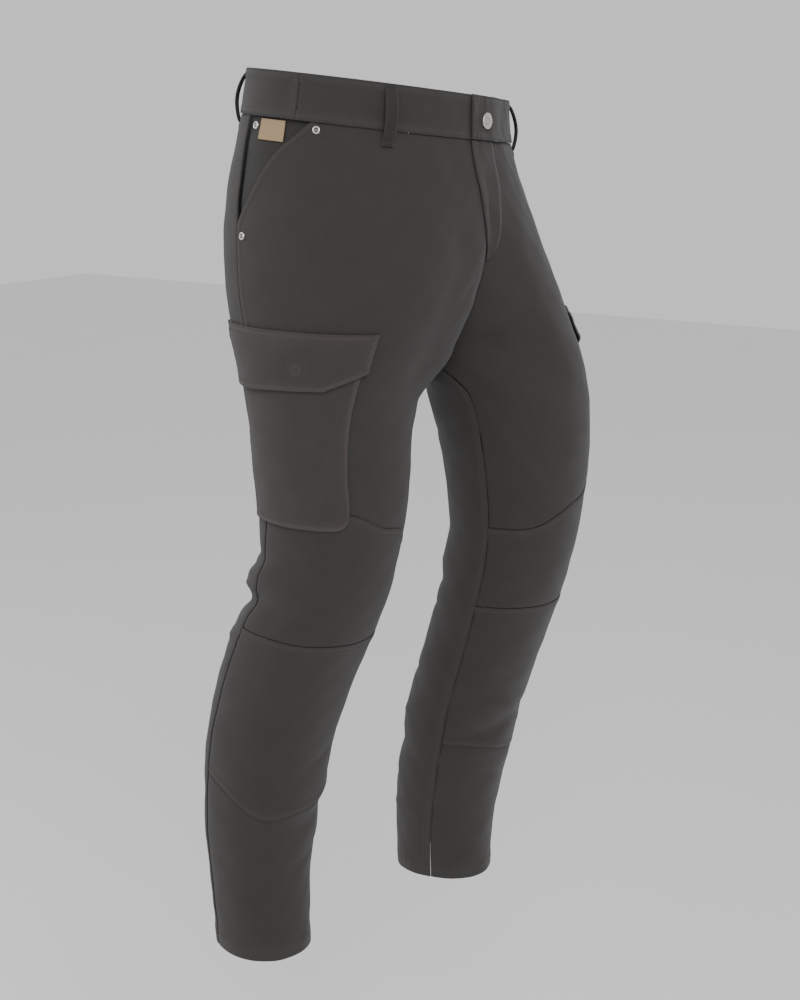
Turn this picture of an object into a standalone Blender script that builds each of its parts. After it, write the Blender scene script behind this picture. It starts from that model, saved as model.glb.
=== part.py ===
"""Motorcycle cargo trousers at real size, filled out as worn, with hollow legs and an open waist.

Metres, +Z up.  The origin is the middle of the waist opening, the wearer faces -Y
and the wearer's left is +X.  Every cloth piece is a wall laid along one shared skin,
which is worked out from the table of levels below: a level gives the leg tube's middle
and its half sizes, and above the fork the two tubes run into each other at X = 0.
A place on a leg is an angle round the tube and a height.  The angle is 0 at the inseam
or the centre front, 90 at the front, 180 at the outer side, 270 at the back and
360 at the inseam or the centre back.
"""

import math
from collections import namedtuple

import bpy
from mathutils import Vector

# Cloth and gaps
CLOTH = 0.0015
SEAM_GAP = 0.0003
LAY_GAP = 0.0010
RIM_HEIGHT = 0.0
WAIST_SEAM = -0.047
BAND_CLOTH = 0.0026
BAND_LIFT = 0.0008
BAND_SEAM_ANGLE = 177.0
SIDE_SEAM = 205.0

# Lean of the waist: the right hip stands higher and the back rises above the front
HIP_TILT = 0.08
BACK_RISE = 0.09
LEAN_DEPTH = 0.30

# Roundness of a tube's section, where 2 is an ellipse and more is squarer
ROUNDNESS = 2.2

# Angles between these two stay put at every height, and the rest crowd towards X = 0
FIXED_FRONT = 120.0
FIXED_BACK = 240.0

Level = namedtuple(
    "Level", "height centre_x half_width depth_right depth_left y_right y_left turn")
LEVELS = (
    Level(0.006, 0.000, 0.159, 0.126, 0.126, 0.002, 0.002, 0),
    Level(-0.047, 0.000, 0.165, 0.131, 0.131, 0.006, 0.004, 0),
    Level(-0.080, 0.012, 0.160, 0.134, 0.134, 0.007, 0.001, 0),
    Level(-0.120, 0.030, 0.150, 0.137, 0.137, 0.007, -0.004, 0),
    Level(-0.160, 0.050, 0.137, 0.137, 0.137, 0.005, -0.013, 0),
    Level(-0.200, 0.070, 0.124, 0.132, 0.132, 0.000, -0.026, 0),
    Level(-0.235, 0.085, 0.113, 0.124, 0.124, -0.004, -0.042, 0),
    Level(-0.265, 0.095, 0.102, 0.112, 0.112, -0.005, -0.062, 1),
    Level(-0.275, 0.098, 0.098, 0.108, 0.108, -0.005, -0.069, 1),
    Level(-0.300, 0.100, 0.094, 0.099, 0.100, -0.004, -0.087, 2),
    Level(-0.340, 0.103, 0.087, 0.088, 0.094, -0.002, -0.102, 3),
    Level(-0.390, 0.106, 0.084, 0.083, 0.088, -0.004, -0.111, 4),
    Level(-0.440, 0.110, 0.078, 0.081, 0.082, -0.007, -0.113, 4),
    Level(-0.490, 0.113, 0.074, 0.078, 0.077, -0.004, -0.111, 5),
    Level(-0.540, 0.117, 0.072, 0.078, 0.074, 0.006, -0.102, 6),
    Level(-0.590, 0.120, 0.072, 0.081, 0.073, 0.026, -0.088, 7),
    Level(-0.640, 0.124, 0.070, 0.080, 0.071, 0.046, -0.071, 8),
    Level(-0.690, 0.127, 0.068, 0.078, 0.071, 0.062, -0.053, 9),
    Level(-0.740, 0.131, 0.066, 0.075, 0.070, 0.073, -0.036, 10),
    Level(-0.790, 0.134, 0.063, 0.072, 0.069, 0.079, -0.023, 11),
    Level(-0.840, 0.138, 0.060, 0.066, 0.067, 0.082, -0.011, 12),
    Level(-0.890, 0.141, 0.055, 0.061, 0.064, 0.082, -0.002, 12),
    Level(-0.940, 0.144, 0.052, 0.058, 0.061, 0.078, 0.003, 12),
    Level(-0.990, 0.147, 0.051, 0.057, 0.060, 0.074, 0.004, 12),
)
FORK = -0.275
APART = -0.340
HEM = -0.980

# Soft folds: a ridge has a positive depth and a trough a negative one.  The spread is
# in degrees round the leg, the reach is the half width up the leg, in metres, and the
# drop is how far the fold falls for each degree.
Fold = namedtuple("Fold", "side angle height spread reach drop depth")
FOLDS = (
    Fold(-1, 245, -0.528, 55, 0.017, 0.00010, 0.0060),
    Fold(-1, 240, -0.558, 60, 0.011, 0.00012, -0.0065),
    Fold(-1, 235, -0.500, 45, 0.010, -0.00010, -0.0035),
    Fold(1, 245, -0.540, 55, 0.017, 0.00010, 0.0045),
    Fold(1, 245, -0.568, 55, 0.011, 0.00012, -0.0050),
    Fold(1, 250, -0.510, 45, 0.012, -0.00010, -0.0030),
    Fold(-1, 60, -0.810, 45, 0.014, 0.00020, -0.0030),
    Fold(1, 60, -0.760, 60, 0.013, -0.00035, -0.0035),
    Fold(1, 280, -0.800, 50, 0.016, 0.00020, -0.0030),
    Fold(-1, 300, -0.820, 50, 0.016, 0.00020, -0.0030),
    Fold(-1, 300, -0.330, 40, 0.016, 0.00040, -0.0035),
    Fold(1, 300, -0.330, 40, 0.016, 0.00040, -0.0035),
)

# Seams across the front of the leg, each with the height at four angles
SeamLine = namedtuple("SeamLine", "name inner front outer_front side")
SEAM_ANGLES = (30.0, 90.0, 130.0, SIDE_SEAM)
THIGH_SEAM = SeamLine("thigh seam", -0.492, -0.463, -0.440, -0.432)
KNEE_SEAM = SeamLine("knee seam", -0.592, -0.594, -0.591, -0.584)
SHIN_SEAM = SeamLine("shin seam", -0.786, -0.800, -0.806, -0.766)

# Stations round the leg and shares of the way down each piece
FRONT_STATIONS = (0, 14, 28, 44, 60, 76, 92, 106, 120, 132, 147, 162, 176, 190, SIDE_SEAM)
BACK_STATIONS = (SIDE_SEAM, 219, 232, 246, 261, 276, 291, 306, 320, 334, 347, 360)
THIGH_SHARES = (0.0, 0.07, 0.15, 0.23, 0.31, 0.38, 0.43, 0.468, 0.492, 0.507,
                0.5147, 0.54, 0.59, 0.66, 0.74, 0.82, 0.91, 1.0)
KNEE_ROWS = 8
LOWER_KNEE_ROWS = 7
SHIN_ROWS = 6

# Slant hip pocket
SLANT_TOP_ANGLE = 170.0
SLANT_FOOT = -0.150
FACING_SINK = 0.0034
FACING_TUCK = 7.0

# Cargo pocket and its flap
POCKET_FRONT = 130.0
POCKET_BACK = 226.0
POCKET_TOP = -0.266
POCKET_FOOT = -0.458
POCKET_CORNER = 0.014
POCKET_BELLOWS = 0.0022
FLAP_FRONT = 127.0
FLAP_BACK = 232.0
FLAP_TOP = -0.247
FLAP_FOOT = -0.311
FLAP_RISE = 0.005
FLAP_RISE_SPREAD = 60.0
FLAP_CUT_ANGLE = 152.0
FLAP_CUT_HEIGHT = -0.287

# Fly, loops, button, rivets and patch
FLY_FOOT = -0.178
FLY_STITCH_STATION = 28.0
TAB_STATION = 28.0
PLACKET_LAP_TOP = 25.5
PLACKET_LAP_FOOT = 1.5
OVERLAP_LIFT = 0.0040
LOOP_WIDTH = 0.0125
LOOP_CLOTH = 0.0016
LOOP_TOP = -0.001
LOOP_FOOT = -0.063
LOOP_STAND = 0.0090
LOOP_ANGLES = ((-1, 136.0), (-1, 236.0), (1, 136.0), (1, 236.0), (1, 360.0))
BUTTON_RADIUS = 0.0088
BUTTON_HEIGHT = 0.0034
BUTTON_DROP = -0.026
RIVET_RADIUS = 0.0045
RIVET_HEIGHT = 0.0022
PATCH_ANGLES = (181.5, 196.0)
PATCH_TOP = -0.0485
PATCH_FOOT = -0.0690
PATCH_CLOTH = 0.0008

# Colours
BLACK_TWILL = (0.034, 0.032, 0.030)
DARK_TWILL = (0.026, 0.025, 0.023)
STEEL = (0.62, 0.60, 0.57)
GREY_PATCH = (0.36, 0.34, 0.34)


def clamp(value, low, high):
    """Return the value held between two limits."""
    return max(low, min(high, value))


def smooth(share):
    """Return a share from 0 to 1 eased at both ends."""
    share = clamp(share, 0.0, 1.0)
    return share * share * (3.0 - 2.0 * share)


def level_at(height):
    """Return the level at a height, on a smooth curve through the table's rows."""
    rows = LEVELS
    height = clamp(height, rows[-1].height, rows[0].height)
    index = 0
    while index < len(rows) - 2 and height < rows[index + 1].height:
        index += 1
    low, high = rows[index], rows[index + 1]
    before = rows[max(index - 1, 0)]
    after = rows[min(index + 2, len(rows) - 1)]
    span = high.height - low.height
    share = (height - low.height) / span
    values = [height]
    for name in Level._fields[1:]:
        start, end = getattr(low, name), getattr(high, name)
        slope_in = (end - getattr(before, name)) / (high.height - before.height) * span
        slope_out = (getattr(after, name) - start) / (after.height - low.height) * span
        values.append(
            (2 * share ** 3 - 3 * share ** 2 + 1) * start
            + (share ** 3 - 2 * share ** 2 + share) * slope_in
            + (3 * share ** 2 - 2 * share ** 3) * end
            + (share ** 3 - share ** 2) * slope_out)
    return Level(*values)


def fork_angle(level):
    """Return the angle, in degrees, at which a tube is cut by the plane X = 0."""
    reach = (level.centre_x - SEAM_GAP / 2) / level.half_width
    if reach >= 1.0:
        return 0.0
    return math.degrees(math.acos(max(reach, 0.0) ** (ROUNDNESS / 2)))


def tube_angle(station, start):
    """Return the real angle of a station, crowded between X = 0 and the fixed stretch."""
    if station < FIXED_FRONT:
        return start + station / FIXED_FRONT * (FIXED_FRONT - start)
    if station > FIXED_BACK:
        span = 360.0 - FIXED_BACK
        return FIXED_BACK + (station - FIXED_BACK) / span * (span - start)
    return station


def power(value):
    """Return a sine or cosine bent to the section's roundness, with its sign kept."""
    return math.copysign(abs(value) ** (2.0 / ROUNDNESS), value)


def fold_depth(side, station, height):
    """Return how far the folds move the skin out at one place."""
    total = 0.0
    for fold in FOLDS:
        if fold.side != side:
            continue
        turn = station - fold.angle
        rise = (height - fold.height + fold.drop * turn) / fold.reach
        total += fold.depth * math.exp(-(turn / fold.spread) ** 2 - rise * rise)
    return total


def skin_at(side, station, height):
    """Return the point of the bare skin at a station and height of one side."""
    level = level_at(height)
    angle = math.radians(tube_angle(station, fork_angle(level)))
    bump = fold_depth(side, station, height)
    depth = level.depth_right if side < 0 else level.depth_left
    inward = (level.half_width + bump) * power(math.cos(angle))
    ahead = (depth + bump) * power(math.sin(angle))
    turn = math.radians(level.turn)
    across = inward * math.cos(turn) - ahead * math.sin(turn)
    ahead = inward * math.sin(turn) + ahead * math.cos(turn)
    offset = level.centre_x - across
    shared = (level.y_right + level.y_left) / 2
    own = level.y_right if side < 0 else level.y_left
    joined = smooth((height - APART) / (FORK - APART))
    pull = 1.0 - joined * (1.0 - smooth(offset / max(level.centre_x, 0.06)))
    across_x = side * max(offset, SEAM_GAP / 2)
    along_y = shared + (own - shared) * pull - ahead
    lean = smooth(1.0 + height / LEAN_DEPTH)
    lift = lean * (BACK_RISE * along_y - HIP_TILT * across_x)
    return Vector((across_x, along_y, height + lift))


def skin_normal(side, station, height):
    """Return the skin's outward direction at a place."""
    step = 1.5
    rise = 0.004
    early, late = max(station - step, 0.0), min(station + step, 360.0)
    round_leg = skin_at(side, late, height) - skin_at(side, early, height)
    down_leg = skin_at(side, station, height - rise) - skin_at(side, station, height + rise)
    return (round_leg.cross(down_leg) * -side).normalized()


def place(side, station, height, lift):
    """Return the skin's point moved out by a lift, never across the plane X = 0."""
    point = skin_at(side, station, height) + skin_normal(side, station, height) * lift
    if side * point.x < SEAM_GAP / 2:
        point.x = side * SEAM_GAP / 2
    return point


def degrees_for(side, station, height, length):
    """Return how many degrees of station span a length at one place."""
    other = station + 2.0 if station < 350.0 else station - 2.0
    span = (skin_at(side, other, height) - skin_at(side, station, height)).length
    return 2.0 * length / span


def seam_height(line, station):
    """Return the height of a front seam at a station, eased between its four angles."""
    marks = list(zip(SEAM_ANGLES, line[1:]))
    if station <= marks[0][0]:
        return marks[0][1]
    for (low, start), (high, end) in zip(marks, marks[1:]):
        if station <= high:
            return start + (end - start) * smooth((station - low) / (high - low))
    return marks[-1][1]


def front_rows(station):
    """Return the heights of every row down the front at a station, from waist to hem."""
    thigh = seam_height(THIGH_SEAM, station)
    knee = seam_height(KNEE_SEAM, station)
    shin = seam_height(SHIN_SEAM, station)
    heights = [WAIST_SEAM + (thigh - WAIST_SEAM) * share for share in THIGH_SHARES]
    for top, foot, rows in ((thigh, knee, KNEE_ROWS), (knee, shin, LOWER_KNEE_ROWS),
                            (shin, HEM, SHIN_ROWS)):
        heights += [top + (foot - top) * row / rows for row in range(1, rows + 1)]
    return heights


def back_rows(station):
    """Return the heights down the back, which meet the front's at both its seams."""
    share = (station - SIDE_SEAM) / (360.0 - SIDE_SEAM)
    outer, inner = front_rows(SIDE_SEAM), front_rows(0.0)
    return [high + (low - high) * share for high, low in zip(outer, inner)]


def new_material(name, colour, roughness, metallic):
    """Return a plain Principled material."""
    material = bpy.data.materials.new(name)
    material.use_nodes = True
    shader = material.node_tree.nodes["Principled BSDF"]
    shader.inputs["Base Color"].default_value = (*colour, 1.0)
    shader.inputs["Roughness"].default_value = roughness
    shader.inputs["Metallic"].default_value = metallic
    return material


def black_twill(name):
    """Return the trousers' main cloth."""
    return new_material(name + "_cloth", BLACK_TWILL, 0.85, 0.0)


def dark_twill(name):
    """Return the darker cloth of loops and facings."""
    return new_material(name + "_cloth", DARK_TWILL, 0.9, 0.0)


def steel(name):
    """Return the brushed metal of the rivets and the button."""
    return new_material(name + "_metal", STEEL, 0.35, 1.0)


def patch_cloth(name):
    """Return the plain grey woven patch."""
    return new_material(name + "_cloth", GREY_PATCH, 0.8, 0.0)


def wall(collection, name, outer, inner, material, flip):
    """Build a closed cloth wall from two grids of points, a list of columns each.

    Every cell is cut along the same diagonal, so a piece that lies on another
    has facets that run beside the ones beneath it.
    """
    columns, rows = len(outer), len(outer[0])
    points = [point for column in outer for point in column]
    points += [point for column in inner for point in column]
    under = columns * rows
    faces = []

    def cell(corner_a, corner_b, corner_c, corner_d):
        faces.append((corner_a, corner_b, corner_c))
        faces.append((corner_a, corner_c, corner_d))

    for column in range(columns - 1):
        for row in range(rows - 1):
            first = column * rows + row
            corners = (first, first + 1, first + rows + 1, first + rows)
            cell(*corners)
            cell(*[corner + under for corner in reversed(corners)])
    rim = [row for row in range(rows)]
    rim += [column * rows + rows - 1 for column in range(1, columns)]
    rim += [(columns - 1) * rows + row for row in range(rows - 2, -1, -1)]
    rim += [column * rows for column in range(columns - 2, 0, -1)]
    for start, end in zip(rim, rim[1:] + rim[:1]):
        cell(end, start, start + under, end + under)
    if flip:
        faces = [tuple(reversed(face)) for face in faces]
    mesh = bpy.data.meshes.new(name)
    mesh.from_pydata(points, [], faces)
    mesh.materials.append(material(name))
    mesh.shade_smooth()
    mesh.set_sharp_from_angle(angle=math.radians(50))
    piece = bpy.data.objects.new(name, mesh)
    collection.objects.link(piece)
    return piece


def lay(collection, name, side, grid, lift_at, thickness, material):
    """Lay a wall on the skin through a grid of (station, height) columns."""
    outer, inner = [], []
    for column in grid:
        outer.append([place(side, s, h, lift_at(s, h) + thickness) for s, h in column])
        inner.append([place(side, s, h, lift_at(s, h)) for s, h in column])
    return wall(collection, name, outer, inner, material, side < 0)


def trimmed(heights, first, last):
    """Return part of a column of heights, each end drawn in by half a seam gap."""
    part = list(heights[first:last + 1])
    part[0] -= SEAM_GAP / 2
    part[-1] += SEAM_GAP / 2
    return part


def edge_trim(side, station, height, inward):
    """Return a station moved in by half a seam gap, inward being 1 or -1."""
    return station + inward * degrees_for(side, station, height, SEAM_GAP / 2)


def leg_columns(side, stations, rows_at, first, last):
    """Return the grid of one panel of the leg between two rows."""
    grid = []
    for index, station in enumerate(stations):
        column = []
        for height in trimmed(rows_at(station), first, last):
            spot = station
            if index == 0 and station > 0:
                spot = edge_trim(side, station, height, 1)
            elif index == len(stations) - 1 and station < 360:
                spot = edge_trim(side, station, height, -1)
            elif station == 0 and height < FORK:
                spot = edge_trim(side, station, height, 1)
            elif station == 360 and height < FORK:
                spot = edge_trim(side, station, height, -1)
            column.append((spot, height))
        grid.append(column)
    return grid


def sunk_cloth(station, height):
    """Lift of a panel whose outer face lies on the skin."""
    return -CLOTH


def slant_station(height):
    """Return the station of the hip pocket's slant edge at a height."""
    share = clamp((height - WAIST_SEAM) / (SLANT_FOOT - WAIST_SEAM), 0.0, 1.0)
    bow = 4.0 * math.sin(math.pi * share)
    return SLANT_TOP_ANGLE + (SIDE_SEAM - SLANT_TOP_ANGLE) * share + bow * (1.0 - share)


def front_panel(collection, side, name):
    """Build the front from the waist seam to the thigh seam, cut by the slant pocket."""
    last = len(THIGH_SHARES) - 1
    grid = leg_columns(side, FRONT_STATIONS, front_rows, 0, last)
    cut_from = FIXED_FRONT
    for column_index, column in enumerate(grid):
        station = FRONT_STATIONS[column_index]
        if station <= cut_from:
            continue
        share = (station - cut_from) / (SIDE_SEAM - cut_from)
        for row_index, (spot, height) in enumerate(column):
            edge = min(slant_station(height), SIDE_SEAM)
            if edge < SIDE_SEAM:
                column[row_index] = (cut_from + (edge - cut_from) * share, height)
    return lay(collection, name, side, grid, sunk_cloth, CLOTH, black_twill)


def facing_panel(collection, side, name):
    """Build the hip pocket's facing, which shows in the slant opening."""
    heights = [WAIST_SEAM - SEAM_GAP + (SLANT_FOOT - 0.006 - WAIST_SEAM) * row / 6
               for row in range(7)]
    grid = []
    for share in (0.0, 0.25, 0.5, 0.75, 1.0):
        column = []
        for height in heights:
            start = min(slant_station(height) - FACING_TUCK, SIDE_SEAM - FACING_TUCK)
            end = edge_trim(side, SIDE_SEAM, height, -1)
            column.append((start + (end - start) * share, height))
        grid.append(column)
    return lay(collection, name, side, grid, lambda s, h: -CLOTH - FACING_SINK,
               CLOTH, dark_twill)


def leg_panels(collection, side, word):
    """Build the panels of one leg below and behind the front."""
    thigh = len(THIGH_SHARES) - 1
    knee = thigh + KNEE_ROWS
    shin = knee + LOWER_KNEE_ROWS
    hem = shin + SHIN_ROWS
    spans = (("knee_upper", thigh, knee), ("knee_lower", knee, shin), ("shin", shin, hem))
    for name, first, last in spans:
        grid = leg_columns(side, FRONT_STATIONS, front_rows, first, last)
        lay(collection, name + "_" + word, side, grid, sunk_cloth, CLOTH, black_twill)
    grid = leg_columns(side, BACK_STATIONS, back_rows, 0, hem)
    lay(collection, "back_" + word, side, grid, sunk_cloth, CLOTH, black_twill)


def spread(first, last, count):
    """Return evenly spread numbers from first to last."""
    return [first + (last - first) * step / count for step in range(count + 1)]


def pocket_lift(station, height):
    """Lift of the cargo pocket's inner face, fuller towards its middle and foot."""
    across = (station - POCKET_FRONT) / (POCKET_BACK - POCKET_FRONT)
    down = (height - POCKET_TOP) / (POCKET_FOOT - POCKET_TOP)
    fullness = math.sin(math.pi * clamp(across, 0, 1)) * clamp(4 * (1 - down), 0, 1)
    return LAY_GAP + POCKET_BELLOWS * fullness


def cargo_pocket(collection, side, name):
    """Build the cargo pocket's face, with its lower front corner cut off round."""
    grid = []
    for station in spread(POCKET_FRONT, POCKET_BACK, 8):
        near_front = clamp(1 - (station - POCKET_FRONT) / 11.0, 0, 1)
        foot = POCKET_FOOT + POCKET_CORNER * (1 - math.sqrt(1 - near_front ** 2 * 0.98))
        grid.append([(station, height) for height in spread(POCKET_TOP, foot, 9)])
    return lay(collection, name, side, grid, pocket_lift, CLOTH, black_twill)


def flap_foot(station):
    """Return the height of the flap's lower edge, cut up towards its front corner."""
    share = (station - FLAP_FRONT) / (FLAP_CUT_ANGLE - FLAP_FRONT)
    cut = FLAP_CUT_HEIGHT + (FLAP_FOOT + FLAP_RISE - FLAP_CUT_HEIGHT) * share
    rise = 1.0 - smooth((station - FLAP_CUT_ANGLE) / FLAP_RISE_SPREAD)
    plain = FLAP_FOOT + FLAP_RISE * rise
    return max(cut, plain) if station < FLAP_CUT_ANGLE else plain


def flap_lift(station, height):
    """Lift of the flap's inner face: on the panel at its top, over the pocket below."""
    over_pocket = pocket_lift(station, height) + CLOTH + 1.4 * LAY_GAP
    share = smooth((FLAP_TOP - 0.002 - height) / 0.014)
    return LAY_GAP + (over_pocket - LAY_GAP) * share


def cargo_flap(collection, side, name):
    """Build the flap that closes the cargo pocket."""
    stations = [FLAP_FRONT, 135, 143.5, FLAP_CUT_ANGLE, 164, 177, 190, 204, 218, FLAP_BACK]
    grid = []
    for station in stations:
        heights = [FLAP_TOP, FLAP_TOP - 0.008, FLAP_TOP - 0.016]
        heights += spread(FLAP_TOP - 0.016, flap_foot(station), 4)[1:]
        grid.append([(station, height) for height in heights])
    return lay(collection, name, side, grid, flap_lift, CLOTH, black_twill)


def band_columns(side, stations, lift_at):
    """Return outer and inner columns of a stretch of the waistband on one side."""
    heights = spread(RIM_HEIGHT, WAIST_SEAM + SEAM_GAP, 2)
    outer, inner = [], []
    for station in stations:
        lift = lift_at(station)
        outer.append([place(side, station, height, lift) for height in heights])
        inner.append([place(side, station, height, lift - BAND_CLOTH) for height in heights])
    return outer, inner


def right_band(collection):
    """Build the right front waistband, whose end lies under the left one's."""
    end = BAND_SEAM_ANGLE - degrees_for(-1, BAND_SEAM_ANGLE, RIM_HEIGHT, SEAM_GAP / 2)
    outer, inner = band_columns(-1, spread(0.0, end, 14), lambda s: BAND_LIFT)
    return wall(collection, "waistband_right", outer, inner, black_twill, True)


def left_band(collection):
    """Build the left front waistband, with the tab that laps over the right end."""
    under_stations = [TAB_STATION, TAB_STATION / 2]
    outer, inner = band_columns(-1, under_stations, lambda s: BAND_LIFT + OVERLAP_LIFT)

    def settle(station):
        return BAND_LIFT + OVERLAP_LIFT * (1.0 - smooth((station - 10.0) / 60.0))

    end = BAND_SEAM_ANGLE - degrees_for(1, BAND_SEAM_ANGLE, RIM_HEIGHT, SEAM_GAP / 2)
    more_outer, more_inner = band_columns(1, spread(0.0, end, 14), settle)
    return wall(collection, "waistband_left", outer + more_outer, inner + more_inner,
                black_twill, False)


def back_band(collection):
    """Build the back waistband, from side to side in one piece."""
    start = BAND_SEAM_ANGLE + degrees_for(1, BAND_SEAM_ANGLE, RIM_HEIGHT, SEAM_GAP / 2)
    stations = spread(start, 360.0, 15)
    left_outer, left_inner = band_columns(1, stations, lambda s: BAND_LIFT)
    right_outer, right_inner = band_columns(-1, stations, lambda s: BAND_LIFT)
    outer = left_outer[:-1] + right_outer[::-1][1:]
    inner = left_inner[:-1] + right_inner[::-1][1:]
    return wall(collection, "waistband_back", outer, inner, black_twill, False)


def fly_placket(collection):
    """Build the fly's facing strip on the left front, lapped a little over the right."""
    heights = spread(WAIST_SEAM - SEAM_GAP, FLY_FOOT, 8)
    outer, inner = [], []
    for side, station in ((-1, 1.0), (1, 0.0), (1, 0.35), (1, 0.7), (1, 1.0)):
        outer_column, inner_column = [], []
        for height in heights:
            share = (height - WAIST_SEAM) / (FLY_FOOT - WAIST_SEAM)
            if side < 0:
                spot = PLACKET_LAP_TOP + (PLACKET_LAP_FOOT - PLACKET_LAP_TOP) * share
            else:
                spot = FLY_STITCH_STATION * station * math.sqrt(max(1.0 - share ** 3, 0.02))
            outer_column.append(place(side, spot, height, LAY_GAP + CLOTH))
            inner_column.append(place(side, spot, height, LAY_GAP))
        outer.append(outer_column)
        inner.append(inner_column)
    return wall(collection, "fly_placket", outer, inner, black_twill, False)


def belt_loop(collection, side, angle, name):
    """Build a belt loop sewn down at both ends, standing off the waistband between."""
    heights = spread(LOOP_TOP, LOOP_FOOT, 10)
    half = degrees_for(side, min(angle, 345.0), RIM_HEIGHT, LOOP_WIDTH / 2)
    outer, inner = [], []
    for step in (-1, 1):
        outer_column, inner_column = [], []
        for height in heights:
            share = (height - LOOP_TOP) / (LOOP_FOOT - LOOP_TOP)
            bow = math.sin(math.pi * clamp((share - 0.06) / 0.84, 0, 1)) ** 0.6
            rest = BAND_LIFT + 2 * SEAM_GAP - SEAM_GAP * share
            lift = rest + (LOOP_STAND - rest) * bow
            if angle < 355.0:
                out = place(side, angle + step * half, height, lift + LOOP_CLOTH)
                back = place(side, angle + step * half, height, lift)
            else:
                out = place(side, 360.0, height, lift + LOOP_CLOTH)
                back = place(side, 360.0, height, lift)
                out.x = back.x = step * LOOP_WIDTH / 2
            outer_column.append(out)
            inner_column.append(back)
        outer.append(outer_column)
        inner.append(inner_column)
    flip = side < 0 if angle < 355.0 else True
    return wall(collection, name, outer, inner, dark_twill, flip)


def stud(collection, name, side, station, height, lift, radius, tall):
    """Turn a flat round stud with a raised rim and set it on the cloth."""
    profile = ((0.30, 1.0), (0.42, 0.62), (0.72, 0.62), (0.86, 1.0), (1.0, 0.55), (1.0, 0.0))
    points = [Vector((0.0, 0.0, tall))]
    points += [Vector((radius * across, 0.0, tall * up)) for across, up in profile]
    points.append(Vector((0.0, 0.0, 0.0)))
    mesh = bpy.data.meshes.new(name)
    edges = [(index, index + 1) for index in range(len(points) - 1)]
    mesh.from_pydata(points, edges, [])
    mesh.materials.append(steel(name))
    piece = bpy.data.objects.new(name, mesh)
    collection.objects.link(piece)
    screw = piece.modifiers.new("turn", "SCREW")
    screw.axis = "Z"
    screw.steps = 16
    screw.render_steps = 16
    screw.use_merge_vertices = True
    screw.merge_threshold = 0.00005
    screw.use_smooth_shade = True
    out = skin_normal(side, station, height)
    piece.location = skin_at(side, station, height) + out * lift
    piece.rotation_euler = out.to_track_quat("Z", "Y").to_euler()
    return piece


def label_patch(collection, side, name):
    """Build the plain woven patch at the top of the hip pocket's facing."""
    heights = spread(PATCH_TOP, PATCH_FOOT, 2)
    lift = FACING_SINK - LAY_GAP
    grid = [[(station, height) for height in heights] for station in spread(*PATCH_ANGLES, 2)]
    return lay(collection, name, side, grid, lambda s, h: -lift, PATCH_CLOTH,
               patch_cloth)


def hardware(collection):
    """Set the button and the rivets."""
    stud(collection, "button", 1, 2.0, BUTTON_DROP,
         BAND_LIFT + OVERLAP_LIFT + SEAM_GAP, BUTTON_RADIUS, BUTTON_HEIGHT)
    for side, word in ((-1, "right"), (1, "left")):
        spots = (("top_front", SLANT_TOP_ANGLE - 3.0, -0.054, -SEAM_GAP),
                 ("top_side", SIDE_SEAM - 5.0, -0.056, -FACING_SINK),
                 ("foot", SIDE_SEAM - 5.0, SLANT_FOOT - 0.012, -SEAM_GAP))
        for spot, station, height, lift in spots:
            stud(collection, "rivet_%s_%s" % (spot, word), side, station, height,
                 lift, RIVET_RADIUS, RIVET_HEIGHT)


def clear_scene():
    """Remove the objects that the scene holds."""
    for thing in list(bpy.data.objects):
        bpy.data.objects.remove(thing, do_unlink=True)


def build():
    """Build the whole garment."""
    clear_scene()
    collection = bpy.data.collections.new("motorcycle_trousers")
    bpy.context.scene.collection.children.link(collection)
    for side, word in ((-1, "right"), (1, "left")):
        front_panel(collection, side, "front_" + word)
        facing_panel(collection, side, "pocket_facing_" + word)
        leg_panels(collection, side, word)
        cargo_pocket(collection, side, "cargo_pocket_" + word)
        cargo_flap(collection, side, "cargo_flap_" + word)
    right_band(collection)
    left_band(collection)
    back_band(collection)
    fly_placket(collection)
    for number, (side, angle) in enumerate(LOOP_ANGLES, start=1):
        belt_loop(collection, side, angle, "belt_loop_%d" % number)
    label_patch(collection, -1, "label_patch")
    hardware(collection)


build()
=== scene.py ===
"""Dress of the motorcycle cargo trousers: cloth shells, stitching, hardware, light and camera.

Metres, +Z up.  Every cloth piece lies on one shared skin, which is worked out from the
table of levels: a place on it is a side, a station in degrees round the leg and a height.
The station is 0 at the inseam or the centre front, 90 at the front, 180 at the outer
side, 270 at the back and 360 at the inseam or the centre back.
"""
import logging
import math
from dataclasses import dataclass, field
from enum import Enum
from typing import Callable

import bmesh
import bpy
import numpy as np
from mathutils import Matrix, Vector


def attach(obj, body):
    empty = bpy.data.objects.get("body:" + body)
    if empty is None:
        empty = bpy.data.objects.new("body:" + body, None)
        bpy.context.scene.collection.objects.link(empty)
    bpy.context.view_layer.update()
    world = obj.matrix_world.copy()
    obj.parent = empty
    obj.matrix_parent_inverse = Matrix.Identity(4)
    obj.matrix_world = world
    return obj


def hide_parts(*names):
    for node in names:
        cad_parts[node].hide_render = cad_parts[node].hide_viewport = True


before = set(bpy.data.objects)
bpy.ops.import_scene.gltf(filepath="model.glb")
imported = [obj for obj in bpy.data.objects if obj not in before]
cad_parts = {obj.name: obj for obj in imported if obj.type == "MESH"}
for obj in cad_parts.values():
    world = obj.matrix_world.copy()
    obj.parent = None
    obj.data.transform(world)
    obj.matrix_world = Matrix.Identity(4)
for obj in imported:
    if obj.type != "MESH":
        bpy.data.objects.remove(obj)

LOG = logging.getLogger("trousers")
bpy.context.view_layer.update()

Numbers = np.ndarray
Surface = Callable[[Numbers, Numbers, Numbers], Numbers]

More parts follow.
